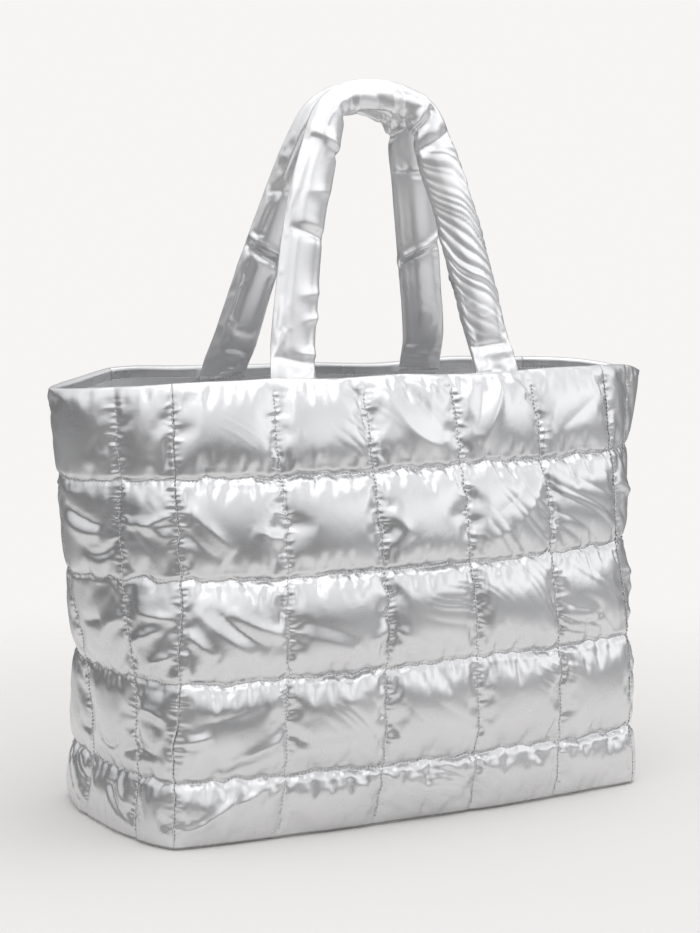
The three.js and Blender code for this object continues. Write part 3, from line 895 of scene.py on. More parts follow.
# Rows from the left foot over to the right one: rise, across, inward, wide and thick shares
FRONT_ROUTE = (
    (0.0, -0.99, 0.0, 1.06, 0.5),
    (0.1, -0.95, 0.13, 1.0, 0.9),
    (0.32, -0.85, 0.35, 0.96, 1.0),
    (0.56, -0.72, 0.58, 0.94, 1.04),
    (0.8, -0.53, 0.8, 0.87, 1.1),
    (0.93, -0.39, 0.94, 0.78, 1.16),
    (0.99, -0.18, 1.0, 0.7, 1.2),
    (1.0, 0.03, 1.0, 0.68, 1.2),
    (0.985, 0.28, 1.0, 0.72, 1.2),
    (0.92, 0.51, 0.92, 0.84, 1.16),
    (0.8, 0.61, 0.8, 0.95, 1.1),
    (0.56, 0.77, 0.58, 0.98, 1.04),
    (0.32, 0.89, 0.35, 1.0, 1.0),
    (0.1, 0.98, 0.13, 1.0, 0.9),
    (0.0, 1.0, 0.0, 1.06, 0.5),
)
BACK_ROUTE = (
    (0.0, -0.99, 0.0, 1.06, 0.5),
    (0.1, -0.95, 0.13, 1.0, 0.9),
    (0.32, -0.81, 0.35, 0.96, 1.0),
    (0.56, -0.64, 0.58, 0.92, 1.04),
    (0.8, -0.45, 0.8, 0.87, 1.1),
    (0.93, -0.31, 0.94, 0.78, 1.16),
    (0.98, -0.15, 1.0, 0.7, 1.2),
    (0.985, 0.04, 1.0, 0.68, 1.2),
    (0.97, 0.3, 1.0, 0.72, 1.2),
    (0.91, 0.52, 0.92, 0.84, 1.16),
    (0.8, 0.64, 0.8, 0.95, 1.1),
    (0.56, 0.76, 0.58, 0.98, 1.04),
    (0.32, 0.88, 0.35, 1.0, 1.0),
    (0.1, 0.98, 0.13, 1.0, 0.9),
    (0.0, 1.0, 0.0, 1.06, 0.5),
)


def front_lining_y(x, z):
    height = (z - wall_foot) / wall_height
    lean = section("lean", height) * BASE_WIDTH / 2 + BAG_SHIFT
    corner_x = section("corner_x", height) * BASE_WIDTH / 2
    return wall_point(FRONT, (x - lean) / corner_x, height)[..., 1] + LINING_DEPTH


def seated_y(x, z, half_wide, half_thick):
    """The y that seats a flat oval section on the front lining."""
    turn = 2 * np.pi * np.arange(12) / 12
    reach = front_lining_y(x + half_wide * np.cos(turn), z) + half_thick * np.abs(np.sin(turn))
    return float(reach.max()) + FOOT_CLEARANCE


def smooth_path(points, shares):
    """A curve that passes evenly through its points, and its direction, at shares of the way."""
    points = np.concatenate([2 * points[:1] - points[1:2], points, 2 * points[-1:] - points[-2:-1]])
    count = len(points) - 3
    at = np.asarray(shares) * count
    i = np.minimum(at.astype(int), count - 1)
    t = (at - i)[:, None]
    a, b, c, d = points[i], points[i + 1], points[i + 2], points[i + 3]
    gaps = [np.sqrt(np.linalg.norm(q - p, axis=1, keepdims=True)) for p, q in ((a, b), (b, c), (c, d))]
    gap_ab, gap_bc, gap_cd = gaps
    start = ((b - a) / gap_ab - (c - a) / (gap_ab + gap_bc) + (c - b) / gap_bc) * gap_bc
    end = ((c - b) / gap_bc - (d - b) / (gap_bc + gap_cd) + (d - c) / gap_cd) * gap_bc
    place = (2 * t**3 - 3 * t**2 + 1) * b + (t**3 - 2 * t**2 + t) * start
    place = place + (3 * t**2 - 2 * t**3) * c + (t**3 - t**2) * end
    way = (6 * t**2 - 6 * t) * b + (3 * t**2 - 4 * t + 1) * start
    way = way + (6 * t - 6 * t**2) * c + (3 * t**2 - 2 * t) * end
    return place, unit(way)


def handle_net(route, side):
    """Rings of points for one handle. side is -1 for the front handle and 1 for the back one."""
    rows = np.array(route)
    half_wide, half_thick = rows[:, 3] * HANDLE_WIDTH / 2, rows[:, 4] * HANDLE_THICKNESS / 2
    top_y = half_thick.max() + HANDLE_GAP / 2
    places = []
    for (rise, across, inward, _, _), wide, thick in zip(rows, half_wide, half_thick):
        x = across * FOOT_SPACING / 2
        rim_y = -seated_y(x, rim_height, wide, thick)
        y = side * (rim_y + (top_y - rim_y) * inward)
        places.append((x + BAG_SHIFT, y, rim_height + rise * HANDLE_RISE))
    feet = []
    for k in (0, -1):
        x, z = rows[k, 1] * FOOT_SPACING / 2, rim_height - FOOT_DROP
        feet.append((x + BAG_SHIFT, -side * seated_y(x, z, half_wide[k], half_thick[k]), z))
    places = np.array([feet[0], *places, feet[1]])
    half_wide = np.concatenate([half_wide[:1], half_wide, half_wide[-1:]])
    half_thick = np.concatenate([half_thick[:1], half_thick, half_thick[-1:]])
    even = np.linspace(0, 1, 2001)
    path, _ = smooth_path(places, even)
    length = np.concatenate([[0], np.cumsum(np.linalg.norm(np.diff(path, axis=0), axis=1))])
    shares = np.interp(np.linspace(0, length[-1], HANDLE_STEPS + 1), length, even)
    centre, way = smooth_path(places, shares)
    table_at = np.linspace(0, 1, len(places))
    wide, thick = smooth_value(table_at, half_wide, shares), smooth_value(table_at, half_thick, shares)
    thick_way = unit(np.array([0, 1.0, 0]) - way * way[:, 1:2])
    wide_way = np.cross(thick_way, way)
    return centre, wide_way, thick_way, wide, thick, length[-1]


# %% [markdown]
# ## Folds in the handles
# The tubes crumple where they turn over: deep pinches on the inside of each bend, and slanting
# wrinkles down the leg that is twisted. These are charted along the handle, then the cloth
# simulation works them out. The two tubes press flat against each other at the top.

# %% Chart the handles' folds
# Each row: share along the handle, place round it as a share of a turn, half length round it as a
# share of a turn, half width along it in mm, slant in turns per metre, height in mm.
# Round the tube, 0 is the outer sewn edge at the left foot, 0.25 the back, 0.5 the inner edge and
# 0.75 the front.
FRONT_HANDLE_FOLDS = (
    (0.045, 0.75, 0.2, 4, 2, -2.5),
    (0.06, 0.62, 0.15, 4, -6, 2.0),
    (0.235, 0.7, 0.2, 4, 3, -3.5),
    (0.247, 0.68, 0.16, 5, 3, 1.5),
    (0.15, 0.62, 0.16, 5, -9, 1.6),
    (0.115, 0.6, 0.14, 4, -12, 1.8),
    (0.3, 0.68, 0.15, 6, -10, 1.4),
    (0.36, 0.55, 0.2, 4, 6, -3.0),
    (0.375, 0.7, 0.25, 5, 8, 2.0),
    (0.43, 0.5, 0.3, 5, 4, -5.0),
    (0.45, 0.62, 0.35, 5, 10, -4.0),
    (0.465, 0.75, 0.3, 6, 10, 2.5),
    (0.5, 0.75, 0.25, 7, -8, -2.5),
    (0.53, 0.65, 0.3, 6, -10, 2.5),
    (0.56, 0.6, 0.35, 5, -12, -4.5),
    (0.585, 0.72, 0.3, 5, -12, 3.0),
    (0.605, 0.55, 0.35, 5, -10, -4.5),
    (0.63, 0.7, 0.3, 5, -8, -2.5),
    (0.94, 0.7, 0.2, 4, 4, -2.5),
    (0.955, 0.8, 0.2, 4, -4, 2.0),
)
BACK_HANDLE_FOLDS = (
    (0.05, 0.75, 0.2, 5, 3, -2.0),
    (0.2, 0.72, 0.3, 4, 10, -3.0),
    (0.215, 0.72, 0.3, 4, 10, 2.5),
    (0.31, 0.7, 0.25, 5, -8, -2.0),
    (0.42, 0.5, 0.3, 5, 6, -4.0),
    (0.45, 0.75, 0.25, 6, 8, 2.0),
    (0.5, 0.6, 0.3, 6, -6, -2.5),
    (0.56, 0.55, 0.3, 5, -8, -4.0),
    (0.6, 0.5, 0.3, 5, -6, -4.0),
    (0.67, 0.75, 0.25, 4, 6, -2.5),
    (0.79, 0.7, 0.3, 5, -12, 3.0),
    (0.8, 0.72, 0.3, 4, -12, -2.5),
    (0.95, 0.75, 0.2, 4, 3, -2.0),
)


def handle_relief(folds, along, turn, length, ridge):
    height = np.zeros(np.broadcast(along, turn).shape)
    for share, place, half_turn, half_width, slant, rise in folds:
        aside = (turn - place + 0.5) % 1 - 0.5
        off = (along - share) * length - aside * slant * MM * 3
        taper = np.clip(1 - (aside / half_turn) ** 2, 0, 1)
        height = height + rise * MM * taper * ridge(off, half_width * MM)
    return height


# Shares along the handle that hold the slanting wrinkles of the twisted leg
TWISTED_LEG = (0.62, 0.93)


def round_steps(count):
    """The way round a fine ring, in metres of cloth."""
    return np.arange(count) * 1.35 * MM


def handle_rings(centre, wide_way, thick_way, wide, thick, length, folds, seed):
    """The rings of points before the cloth settles, with the broad part of the folds on them."""
    share = np.linspace(0, 1, HANDLE_STEPS + 1)
    turn = np.arange(CLOTH_CROSSES) / CLOTH_CROSSES
    angle = 2 * np.pi * turn
    to_foot = np.minimum(share, 1 - share) * length
    pinch = 1 - 0.62 * np.exp(-((to_foot - 2 * MM) / (7 * MM)) ** 2)
    shrink = 1 - 1.2 * MM / wide
    # A pillow's section, more pointed at the sewn outer edge than at the inner one
    cosine = np.cos(angle)
    pointed = np.where(cosine > 0, 0.8, 0.6)
    half = np.sign(np.sin(angle)) * np.maximum(1 - np.abs(cosine) ** 2.1, 0) ** pointed
    square = np.sign(cosine) * np.abs(cosine) ** 0.85
    rings = centre[:, None] + wide_way[:, None] * (wide * shrink)[:, None, None] * -square[None, :, None]
    rings = rings + thick_way[:, None] * (thick * pinch * 0.92)[:, None, None] * half[None, :, None]
    out = unit(rings - centre[:, None])
    waves = soft_waves((HANDLE_STEPS + 1, CLOTH_CROSSES), 5, seed) * 0.4 * MM
    relief = handle_relief(folds, share[:, None], turn[None, :], length, round_ridge) * 0.25 + waves
    relief = relief * np.clip(to_foot / (6 * MM), 0, 1)[:, None]
    relief[:, [0, 1, -1]] *= 0.2
    return rings + out * relief[..., None]


def settle_handle(name, rings):
    """Lets the cloth settle, then draws it back a little, most of all along its two edges."""
    pins = np.zeros(rings.shape[:2])
    pins[:2] = 1
    pins[-2:] = 1
    pins[:, 0] = 0.5
    slack = np.full(pins.shape, 0.5)
    slack[:, [0, 1, 2, -1, -2]] = 0
    numbers = np.arange(pins.size).reshape(pins.shape)
    settled = gather(
        name + "_net",
        rings.reshape(-1, 3),
        [grid_faces(np.concatenate([numbers, numbers[:, :1]], 1))],
        pins.reshape(-1),
        slack.reshape(-1),
        pressure=25,
        most_excess=0.02,
        least_excess=0.012,
        stiffness=0.8,
        weight=0.1,
        furthest=5 * MM,
    ).reshape(rings.shape)
    turn = np.arange(CLOTH_CROSSES) / CLOTH_CROSSES
    to_edge = np.minimum(np.minimum(turn, 1 - turn), np.abs(turn - 0.5)) * CLOTH_CROSSES
    calm = np.interp(to_edge, [0, 2, 4], [0.9, 0.7, 0.3])[None, :, None]
    return settled + (rings - settled) * calm


def handle_pleats(rows, crosses, length, side, folds, seed):
    """Sharp creases, the twisted leg's wrinkles and the puckers at the feet, as heights."""
    along = np.linspace(0, length, rows)[:, None]
    share = along / length
    turn = np.arange(crosses)[None, :] / crosses
    pleat = handle_relief(folds, share, turn, length, sharp_ridge) * 0.8
    twisted = np.clip(np.minimum(share - TWISTED_LEG[0], TWISTED_LEG[1] - share) / 0.04, 0, 1)
    sway = soft_waves((rows, crosses), 14, seed + 1)
    uneven = np.clip(0.75 + 0.45 * soft_waves((rows, crosses), 16, seed + 2), 0.1, 1.4)
    twist_at = along - turn * 105 * MM + sway * 3 * MM
    ridges = lobes(twist_at, 10 * MM, (1.5 if side < 0 else 0.3) * MM, vary=0.8)[0]
    pleat = pleat + ridges * twisted * uneven
    at_edge = np.minimum(turn, 1 - turn) * crosses
    pleat = pleat * np.clip(at_edge / 4, 0.1, 1)
    away = np.arange(0, 12)[:, None] * length / (rows - 1)
    for foot, direction in ((0, 1), (rows - 1, -1)):
        pick = foot + direction * np.arange(0, 12)
        pleat[pick] += pleat_row(round_steps(crosses)[None, :], away, 6 * MM, 7 * MM, 0.8 * MM)
    return pleat


def lay_out_tube(piece, rows, crosses, length, quad_count):
    """A UV map in metres of cloth, which runs on to the end where the ring closes."""
    around, along = round_steps(crosses + 1), np.linspace(0, length, rows)
    corners = np.empty(len(piece.data.loops), np.int32)
    piece.data.loops.foreach_get("vertex_index", corners)
    cloth_map = np.stack(np.broadcast_arrays(around[None, :-1], along[:, None]), -1).reshape(-1, 2)
    cloth_map = np.concatenate([cloth_map, [[0, 0], [0, length]]])[corners]
    quads_at = cloth_map[: quad_count * 4].reshape(-1, 4, 2)[:, :, 0]
    closing = (quads_at.max(1) > around[-2] - 1e-9) & (quads_at.min(1) < 1e-9)
    quads_at[closing[:, None] & (quads_at < 1e-9)] = around[-1]
    layer = piece.data.uv_layers.new(name="cloth")
    layer.data.foreach_set("uv", cloth_map.astype(np.float32).reshape(-1))


def handle_piece(name, node, route, side, folds, seed):
    *frame_of_tube, length = handle_net(route, side)
    settled = settle_handle(name, handle_rings(*frame_of_tube, length, folds, seed))
    fine = refine(settled, PARTS, closed=False)
    fine = refine(fine.transpose(1, 0, 2), PARTS, closed=True).transpose(1, 0, 2)
    rows, crosses = fine.shape[:2]
    normal = grid_normals(fine, closed_across=True)
    facing_out = np.sign((normal * (fine - fine.mean(1, keepdims=True))).sum(-1).mean())
    normal = normal * facing_out
    fine = fine + normal * handle_pleats(rows, crosses, length, side, folds, seed)[..., None]
    keep_off = HANDLE_GAP / 2 * 0.8
    fine[..., 1] = side * np.maximum(side * fine[..., 1], keep_off)

    # Quads round the tube, and a fan of triangles at each end
    numbers = np.arange(rows * crosses).reshape(rows, crosses)
    faces = grid_faces(np.concatenate([numbers, numbers[:, :1]], 1))
    fans = []
    for k, row in enumerate((numbers[0], numbers[-1])):
        fans.append(np.stack([row, np.roll(row, -1), np.full(crosses, numbers.size + k)], -1))
    points = np.concatenate([fine.reshape(-1, 3), np.stack([fine[0].mean(0), fine[-1].mean(0)])])
    flip = -1 if facing_out < 0 else 1
    piece = piece_from_faces(name, points, [faces[:, ::flip], fans[0][:, ::-flip], fans[1][:, ::flip]])
    lay_out_tube(piece, rows, crosses, length, len(faces))
    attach(piece, "root")
    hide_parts(node)
    print(name, "length", round(length, 3), "m,", len(piece.data.polygons), "faces")
    return {"piece": piece, "net": fine, "normal": normal}


handles = {
    "front": handle_piece("front_handle_tube", "front_handle", FRONT_ROUTE, -1, FRONT_HANDLE_FOLDS, 41),
    "back": handle_piece("back_handle_tube", "back_handle", BACK_ROUTE, 1, BACK_HANDLE_FOLDS, 42),
}

# %% [markdown]
# ## The padded floor of the bag
# The floor is a flat pad whose outline is the foot of the four walls. It is drawn as a ring of points
# from a circle primitive, filled, raised and rounded, so the bag stands on a real edge.

# %% Make the floor pad
SMOOTH_BELOW = math.radians(40)
BASE_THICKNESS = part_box("base_panel")[1].z
foot_line = (seam_points[0] - seam_out[0] * 3.5 * MM)[::2]
deselect_all()
bpy.ops.mesh.primitive_circle_add(vertices=len(foot_line), radius=BASE_WIDTH / 2, fill_type="NGON")
floor_pad = bpy.context.object
floor_pad.name = "bag_floor"
for vertex, place in zip(floor_pad.data.vertices, foot_line):
    vertex.co = (place[0], place[1], 0)
thicken((0, 0, BASE_THICKNESS))
apply_modifier(floor_pad, "BEVEL", width=1.8 * MM, segments=3, limit_method="ANGLE")
bpy.ops.object.shade_smooth_by_angle(angle=SMOOTH_BELOW)
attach(floor_pad, "root")
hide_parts("base_panel")
print("floor pad", len(floor_pad.data.polygons), "faces")

# %% [markdown]
# ## The tabs below the handles' feet
# Below each foot a flat folded patch of the same cloth is stitched to the lining. It is a grid
# primitive laid along the curved lining, then thickened, with bevelled edges.

# %% Make the four tabs
TAB_CUTS = 10
TAB_THICKNESS = 2.2 * MM


def tab_piece(node):
    low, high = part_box(node)
    deselect_all()
    bpy.ops.mesh.primitive_grid_add(x_subdivisions=TAB_CUTS, y_subdivisions=TAB_CUTS, size=1)
    piece = bpy.context.object
    piece.name = node + "_patch"
    inward = 1 if high.y < 0 else -1
    for vertex in piece.data.vertices:
        x = low.x + (vertex.co.x + 0.5) * (high.x - low.x)
        z = low.z + (vertex.co.y + 0.5) * (high.z - low.z)
        lining_y = float(front_lining_y(np.array(inward * x), np.array(z)))
        wave = 0.4 * MM * math.sin(x / (6 * MM)) * math.sin(z / (7 * MM))
        vertex.co = (x, inward * (lining_y + 0.4 * MM + wave * 0.5), z)
    thicken((0, inward * TAB_THICKNESS, 0))
    apply_modifier(piece, "BEVEL", width=0.9 * MM, segments=2, limit_method="ANGLE")
    apply_modifier(piece, "SUBSURF", levels=1, render_levels=1)
    bpy.ops.object.shade_smooth_by_angle(angle=SMOOTH_BELOW)
    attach(piece, "root")
    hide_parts(node)
    return piece


tabs = [tab_piece(f"{wall}_{hand}_tab") for wall in ("front", "back") for hand in ("left", "right")]
print(len(tabs), "tabs,", len(tabs[0].data.polygons), "faces each")

# %% [markdown]
# ## Stitches
# One stitch is modelled once, as a short thread with rounded ends that dips into the cloth at both
# ends. Copies are laid along every seam of the finished cloth and joined into one piece per wall.

# %% Model one stitch and lay it along seams
STITCH_LENGTH = 2.4 * MM
STITCH_PITCH = 3.3 * MM
THREAD_RADIUS = 0.4 * MM

deselect_all()
bpy.ops.mesh.primitive_cylinder_add(
    vertices=6, radius=THREAD_RADIUS, depth=STITCH_LENGTH * 0.6, end_fill_type="TRIFAN"
)
stitch_model = bpy.context.object
bpy.ops.object.mode_set(mode="EDIT")
bpy.ops.mesh.select_all(action="SELECT")
bpy.ops.mesh.normals_make_consistent(inside=False)
bpy.ops.object.mode_set(mode="OBJECT")
stitch_points = np.array([v.co[:] for v in stitch_model.data.vertices])
poles = np.hypot(stitch_points[:, 0], stitch_points[:, 1]) < THREAD_RADIUS / 2
stitch_points[poles, 2] = np.sign(stitch_points[poles, 2]) * STITCH_LENGTH / 2
stitch_faces = [np.array(f.vertices[:]) for f in stitch_model.data.polygons]
bpy.data.objects.remove(stitch_model)


def lay_stitches(name, lines, pitch=STITCH_PITCH, scale=1.0, across=False):
    """Joins copies of the stitch along lines. Each line is (points, outward directions)."""
    all_points, quads, triangles, count = [], [], [], 0
    local = stitch_points * scale
    for points, out in lines:
        length = np.concatenate([[0], np.cumsum(np.linalg.norm(np.diff(points, axis=0), axis=1))])
        at = np.arange(pitch / 2, length[-1], pitch)

        def read(values, where):
            return np.stack([np.interp(where, length, values[:, k]) for k in range(3)], -1)

        normal = unit(read(out, at))
        way = unit(read(points, at + 0.5 * MM) - read(points, at - 0.5 * MM))
        side = unit(np.cross(normal, way))
        if across:
            way, side = side, -way
        made = (read(points, at) + normal * THREAD_RADIUS)[:, None]
        made = made + side[:, None] * local[None, :, 0:1] + normal[:, None] * local[None, :, 1:2]
        made = made + way[:, None] * local[None, :, 2:3]
        numbers = count + np.arange(len(at))[:, None] * len(local)
        for face in stitch_faces:
            (quads if len(face) == 4 else triangles).append(numbers + face[None, :])
        all_points.append(made.reshape(-1, 3))
        count += made.shape[0] * made.shape[1]
    faces = [np.concatenate(quads), np.concatenate(triangles)]
    piece = piece_from_faces(name, np.concatenate(all_points), faces)
    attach(piece, "root")
    print(name, count // len(stitch_points), "stitches")
    return piece


net_normals = grid_normals(fine_net, closed_across=True)
threads = []
for wall in (FRONT, RIGHT, BACK, LEFT):
    first, last = wall_start[wall] * PARTS, wall_start[wall + 1] * PARTS
    lines = []
    for column in fine_seam_columns[(fine_seam_columns >= first) & (fine_seam_columns < last)]:
        lines.append((fine_net[3:stitched_top, column], net_normals[3:stitched_top, column]))
    span = np.arange(first, last + 1) % fine_columns
    for row in fine_seam_rows[1:]:
        lines.append((fine_net[row, span], net_normals[row, span]))
    lines.append((fine_net[-1, span], -seam_out[-1][span // PARTS]))
    threads.append(lay_stitches(("front", "right", "back", "left")[wall] + "_stitching", lines))

for hand, made in handles.items():
    net, normal = made["net"], made["normal"]
    feet = []
    half, whole = net.shape[1] // 2, net.shape[1]
    inner = np.arange(0, half + 1) if hand == "front" else np.arange(half, whole + 1) % whole
    for row in (4, -5):
        feet.append((net[row, inner], normal[row, inner]))
    threads.append(lay_stitches(hand + "_foot_stitching", feet, pitch=1.9 * MM, scale=1.5, across=True))

# %% [markdown]
# ## Finishes
# The cloth is a tightly woven nylon with a metal coating. It reflects like brushed foil: mirror like
# at a glance, but softened. One node group adds the fine weave, one adds small crinkles that the mesh
# is too coarse for, and one varies the coating's tone a little. On the walls and the handles they
# read the cloth's own map, in metres of cloth, so they follow the seams.


# %% Node helpers and the shared groups
def new_group(name, number, default, output):
    """A node group that takes a place and one number, and gives one value."""
    group = bpy.data.node_groups.new(name, "ShaderNodeTree")
    group.interface.new_socket("Place", in_out="INPUT", socket_type="NodeSocketVector")
    made = group.interface.new_socket(number, in_out="INPUT", socket_type="NodeSocketFloat")
    made.default_value = default
    group.interface.new_socket(output, in_out="OUTPUT", socket_type="NodeSocketFloat")
    return group, group.nodes.new("NodeGroupInput"), group.nodes.new("NodeGroupOutput")


def add_node(tree, kind, **values):
    made = tree.nodes.new(kind)
    for key, value in values.items():
        made.inputs[key].default_value = value
    return made


def math_node(tree, operation, a, b=None):
    made = tree.nodes.new("ShaderNodeMath")
    made.operation = operation
    for socket, value in zip(made.inputs, (a, b)):
        if isinstance(value, (int, float)):
            socket.default_value = value
        elif value is not None:
            tree.links.new(value, socket)
    return made.outputs[0]


def map_range(tree, value, from_low, from_high, to_low, to_high, smooth=False):
    """A value moved from one range to another, evenly or with soft ends."""
    made = tree.nodes.new("ShaderNodeMapRange")
    if smooth:
        made.interpolation_type = "SMOOTHSTEP"
    names = ("From Min", "From Max", "To Min", "To Max")
    for name, number in zip(names, (from_low, from_high, to_low, to_high)):
        made.inputs[name].default_value = number
    tree.links.new(value, made.inputs["Value"])
    return made.outputs["Result"]


def vector_node(tree, operation, vector):
    made = tree.nodes.new("ShaderNodeVectorMath")
    made.operation = operation
    tree.links.new(vector, made.inputs[0])
    return made


def weave_group():
    """A plain weave: threads over and under, as a height."""
    group, start, end = new_group("cloth_weave", "Threads", 2000.0, "Height")
    split = group.nodes.new("ShaderNodeSeparateXYZ")
    group.links.new(start.outputs["Place"], split.inputs[0])
    turn = math_node(group, "MULTIPLY", start.outputs["Threads"], math.pi)
    warp = math_node(group, "SINE", math_node(group, "MULTIPLY", split.outputs["X"], turn))
    weft = math_node(group, "SINE", math_node(group, "MULTIPLY", split.outputs["Y"], turn))
    group.links.new(math_node(group, "MULTIPLY", warp, weft), end.inputs["Height"])
    return group


def crinkle_group():
    """Small sharp crinkles, as a height: ridges of distorted noise at two sizes."""
    group, start, end = new_group("cloth_crinkles", "Size", 40.0, "Height")
    heights = []
    for scale, share in ((1.0, 1.0), (2.3, 0.45)):
        noise = add_node(group, "ShaderNodeTexNoise", Detail=2.0, Roughness=0.45, Distortion=0.6)
        group.links.new(start.outputs["Place"], noise.inputs["Vector"])
        size = math_node(group, "MULTIPLY", start.outputs["Size"], scale)
        group.links.new(size, noise.inputs["Scale"])
        ridge = math_node(group, "ABSOLUTE", math_node(group, "SUBTRACT", noise.outputs["Fac"], 0.5))
        heights.append(math_node(group, "MULTIPLY", math_node(group, "POWER", ridge, 0.8), -share))
    group.links.new(math_node(group, "ADD", *heights), end.inputs["Height"])
    return group


def tone_group():
    """Slow changes in the coating, as a mask from 0 to 1."""
    group, start, end = new_group("coating_tone", "Size", 12.0, "Mask")
    noise = add_node(group, "ShaderNodeTexNoise", Detail=4.0, Roughness=0.6)
    group.links.new(start.outputs["Place"], noise.inputs["Vector"])
    group.links.new(start.outputs["Size"], noise.inputs["Scale"])
    mask = map_range(group, noise.outputs["Fac"], 0.3, 0.7, 0, 1)
    group.links.new(mask, end.inputs["Mask"])
    return group


weave = weave_group()
crinkles = crinkle_group()
coating = tone_group()


# %% Metallic nylon, thread and lining
def placed_group(tree, group, place, **values):
    """One of the shared groups, reading the given place. Returns its value."""
    made = tree.nodes.new("ShaderNodeGroup")
    made.node_tree = group
    tree.links.new(place, made.inputs["Place"])
    for key, value in values.items():
        made.inputs[key].default_value = value
    return made.outputs[0]


def toned_material(name, coordinates, size, dark, light, **values):
    """A material whose colour runs from dark to light with the coating's tone."""
    material = bpy.data.materials.new(name)
    material.use_nodes = True
    tree = material.node_tree
    shader = tree.nodes["Principled BSDF"]
    for key, value in values.items():
        shader.inputs[key].default_value = value
    place = tree.nodes.new("ShaderNodeTexCoord").outputs[coordinates]
    tone = placed_group(tree, coating, place, Size=size)
    ramp = tree.nodes.new("ShaderNodeValToRGB")
    ramp.color_ramp.elements[0].color = (*dark, 1)
    ramp.color_ramp.elements[1].color = (*light, 1)
    tree.links.new(tone, ramp.inputs["Fac"])
    tree.links.new(ramp.outputs["Color"], shader.inputs["Base Color"])
    return material, tree, shader, place, tone


def bumped(tree, height, strength, depth):
    """A bump node for a height."""
    made = add_node(tree, "ShaderNodeBump", Strength=strength, Distance=depth)
    tree.links.new(height, made.inputs["Height"])
    return made


def metallic_nylon(name, dark, light, smooth, rough, crinkle_depth, coordinates="UV"):
    material, tree, shader, place, tone = toned_material(
        name, coordinates, 14.0, dark, light, Metallic=1.0
    )
    tree.links.new(map_range(tree, tone, 0, 1, smooth, rough), shader.inputs["Roughness"])
    broad = bumped(tree, placed_group(tree, crinkles, place, Size=45.0), 1.0, crinkle_depth)
    small = bumped(tree, placed_group(tree, weave, place, Threads=1400.0), 0.15, 0.05 * MM)
    tree.links.new(broad.outputs["Normal"], small.inputs["Normal"])
    tree.links.new(small.outputs["Normal"], shader.inputs["Normal"])
    return material


def thread_finish():
    gloss = {"Roughness": 0.45, "Sheen Weight": 0.3}
    dark, light = (0.6, 0.6, 0.61), (0.85, 0.85, 0.86)
    return toned_material("silver_thread", "Object", 220.0, dark, light, **gloss)[0]


def painted_light_lining_finish():
    # The lining's near-white colour is painted light: it brightens the inside of the bag, where the silver
    # cloth would render dark for want of light.
    dark, light = (0.95, 0.95, 0.955), (0.98, 0.98, 0.982)
    material, tree, shader, place, tone = toned_material(
        "pale_lining_painted_light", "UV", 10.0, dark, light, Metallic=0.45
    )
    tree.links.new(map_range(tree, tone, 0, 1, 0.42, 0.52), shader.inputs["Roughness"])
    small = bumped(tree, placed_group(tree, weave, place, Threads=1400.0), 0.2, 0.05 * MM)
    tree.links.new(small.outputs["Normal"], shader.inputs["Normal"])
    return material


# Each: name, darkest and lightest tone, least and most roughness, depth of the crinkles
wall_cloth = metallic_nylon(
    "quilted_silver_nylon", (0.72, 0.725, 0.733), (0.8, 0.802, 0.807), 0.25, 0.31, 0.15 * MM
)
# The handles are the same cloth as the walls. Their lighter tone is painted light, which brightens them.
handle_cloth_painted_light = metallic_nylon(
    "handle_silver_nylon_painted_light", (0.88, 0.883, 0.89), (0.96, 0.962, 0.966), 0.28, 0.33, 0.12 * MM
)
plain_cloth = metallic_nylon(
    "flat_silver_nylon", (0.66, 0.665, 0.675), (0.78, 0.782, 0.79), 0.28, 0.36, 0.6 * MM, "Object"
)
thread = thread_finish()
painted_light_lining = painted_light_lining_finish()
finishes = [(p, wall_cloth) for p in walls.values()]
finishes += [(h["piece"], handle_cloth_painted_light) for h in handles.values()]
finishes += [(p, plain_cloth) for p in [floor_pad, *tabs]]
finishes += [(p, thread) for p in threads]
for piece, finish in finishes:
    inside = np.zeros(len(piece.data.polygons), np.int32)
    piece.data.polygons.foreach_get("material_index", inside)
    piece.data.materials.clear()
    piece.data.materials.append(finish)
    if inside.any():
        piece.data.materials.append(painted_light_lining)
        piece.data.polygons.foreach_set("material_index", inside)
print(len(finishes), "pieces finished")

# %% [markdown]
# ## The studio
# The photo was taken on a pale sweep, with broad soft light from above. A metal coating shows mostly
# what surrounds it, so the surroundings matter more than the lamps: white above, a grey band at
# the height of the horizon, darker to the left, and the pale warm floor below. The camera itself
# sees only the pale backdrop.

# %% Floor, surroundings and lights
BACKDROP = (0.93, 0.915, 0.905)
FLOOR_COLOUR = (0.86, 0.845, 0.83, 1)
FLOOR_FADE = 0.4
FLOOR_RADIUS = 1.0
# Brightness from straight down (0) over the horizon (0.5) to straight up (1)
SKY = ((0.0, 0.62), (0.35, 0.56), (0.5, 0.3), (0.57, 0.34), (0.64, 0.88), (0.72, 1.06), (1.0, 1.06))
TO_THE_RIGHT = (0.85, -0.5, 0)
LEVEL_LEFT, LEVEL_RIGHT, LEVEL_ABOVE = 0.64, 1.32, 0.84  # share of it that comes from each way


def studio_floor():
    deselect_all()
    bpy.ops.mesh.primitive_circle_add(vertices=96, radius=FLOOR_RADIUS, fill_type="NGON")
    sweep = bpy.context.object
    sweep.name = "studio_floor"
    material = bpy.data.materials.new("pale_floor")
    material.use_nodes = True
    tree = material.node_tree
    shader = tree.nodes["Principled BSDF"]
    shader.inputs["Base Color"].default_value = FLOOR_COLOUR
    shader.inputs["Roughness"].default_value = 0.9
    shader.inputs["Specular IOR Level"].default_value = 0.1
    place = tree.nodes.new("ShaderNodeTexCoord").outputs["Object"]
    distance = vector_node(tree, "LENGTH", place).outputs["Value"]
    fade = map_range(tree, distance, FLOOR_FADE, FLOOR_RADIUS, 1, 0, smooth=True)
    tree.links.new(fade, shader.inputs["Alpha"])
    sweep.data.materials.append(material)


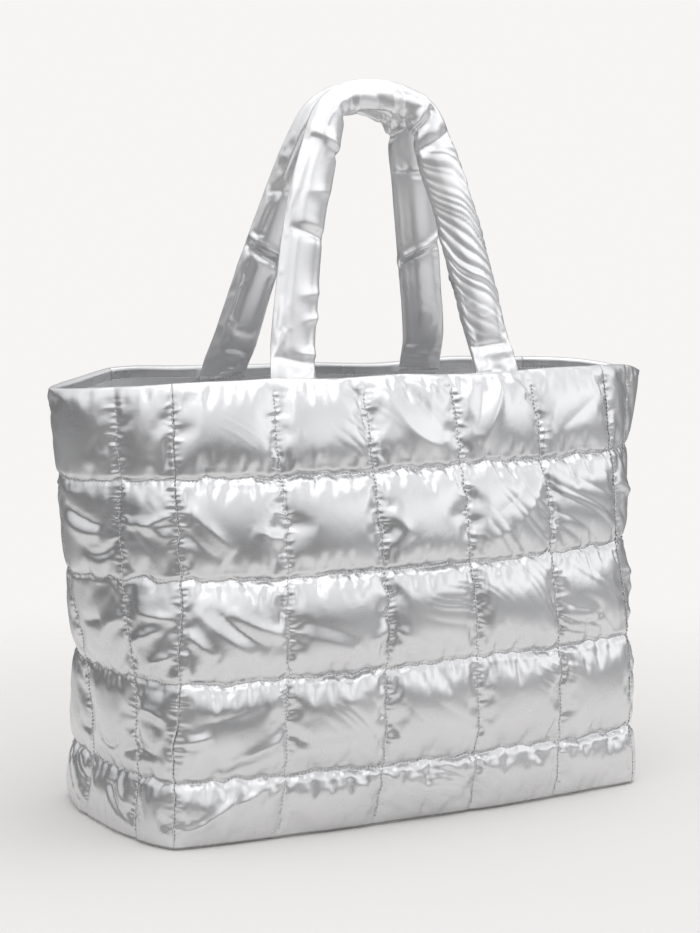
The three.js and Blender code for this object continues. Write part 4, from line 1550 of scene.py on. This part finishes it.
def surroundings():
    world = bpy.data.worlds.new("studio")
    bpy.context.scene.world = world
    world.use_nodes = True
    tree = world.node_tree
    link = tree.links.new
    way = tree.nodes.new("ShaderNodeTexCoord").outputs["Generated"]
    split = tree.nodes.new("ShaderNodeSeparateXYZ")
    link(way, split.inputs[0])
    ramp = tree.nodes.new("ShaderNodeValToRGB")
    link(map_range(tree, split.outputs["Z"], -1, 1, 0, 1), ramp.inputs["Fac"])
    for at, _ in SKY[1:-1]:
        ramp.color_ramp.elements.new(at)
    for stop, (_, level) in zip(ramp.color_ramp.elements, SKY):
        stop.color = (level, level, level * 1.01, 1)
    rightward = vector_node(tree, "DOT_PRODUCT", way)
    rightward.inputs[1].default_value = TO_THE_RIGHT
    side = map_range(tree, rightward.outputs["Value"], 0.4, 0.92, LEVEL_LEFT, LEVEL_RIGHT, smooth=True)
    share = tree.nodes.new("ShaderNodeMix")
    link(map_range(tree, split.outputs["Z"], 0.3, 0.8, 0, 1, smooth=True), share.inputs[0])
    link(side, share.inputs[2])
    share.inputs[3].default_value = LEVEL_ABOVE
    sided = vector_node(tree, "SCALE", ramp.outputs["Color"])
    link(share.outputs[0], sided.inputs["Scale"])
    seen = tree.nodes["Background"]
    link(sided.outputs["Vector"], seen.inputs["Color"])
    backdrop = add_node(tree, "ShaderNodeBackground", Color=(*BACKDROP, 1))
    path = tree.nodes.new("ShaderNodeLightPath")
    mix = tree.nodes.new("ShaderNodeMixShader")
    link(path.outputs["Is Camera Ray"], mix.inputs["Fac"])
    link(seen.outputs["Background"], mix.inputs[1])
    link(backdrop.outputs["Background"], mix.inputs[2])
    link(mix.outputs["Shader"], tree.nodes["World Output"].inputs["Surface"])


def soft_lamp(name, place, aim_at, size, power):
    lamp = bpy.data.lights.new(name, "AREA")
    lamp.shape = "RECTANGLE"
    lamp.size, lamp.size_y = size
    lamp.energy = power
    made = bpy.data.objects.new(name, lamp)
    bpy.context.scene.collection.objects.link(made)
    made.location = place
    made.rotation_euler = (Vector(aim_at) - Vector(place)).to_track_quat("-Z", "Y").to_euler()


studio_floor()
surroundings()
soft_lamp("lamp_above", (0.2, -0.3, 2.2), (0, 0, 0.3), (2.4, 1.8), 10)
soft_lamp("lamp_front", (-1.2, -1.6, 1.6), (0, 0, 0.3), (2.5, 2.5), 5)
bpy.context.scene.view_settings.view_transform = "Standard"
bpy.context.scene.view_settings.look = "None"
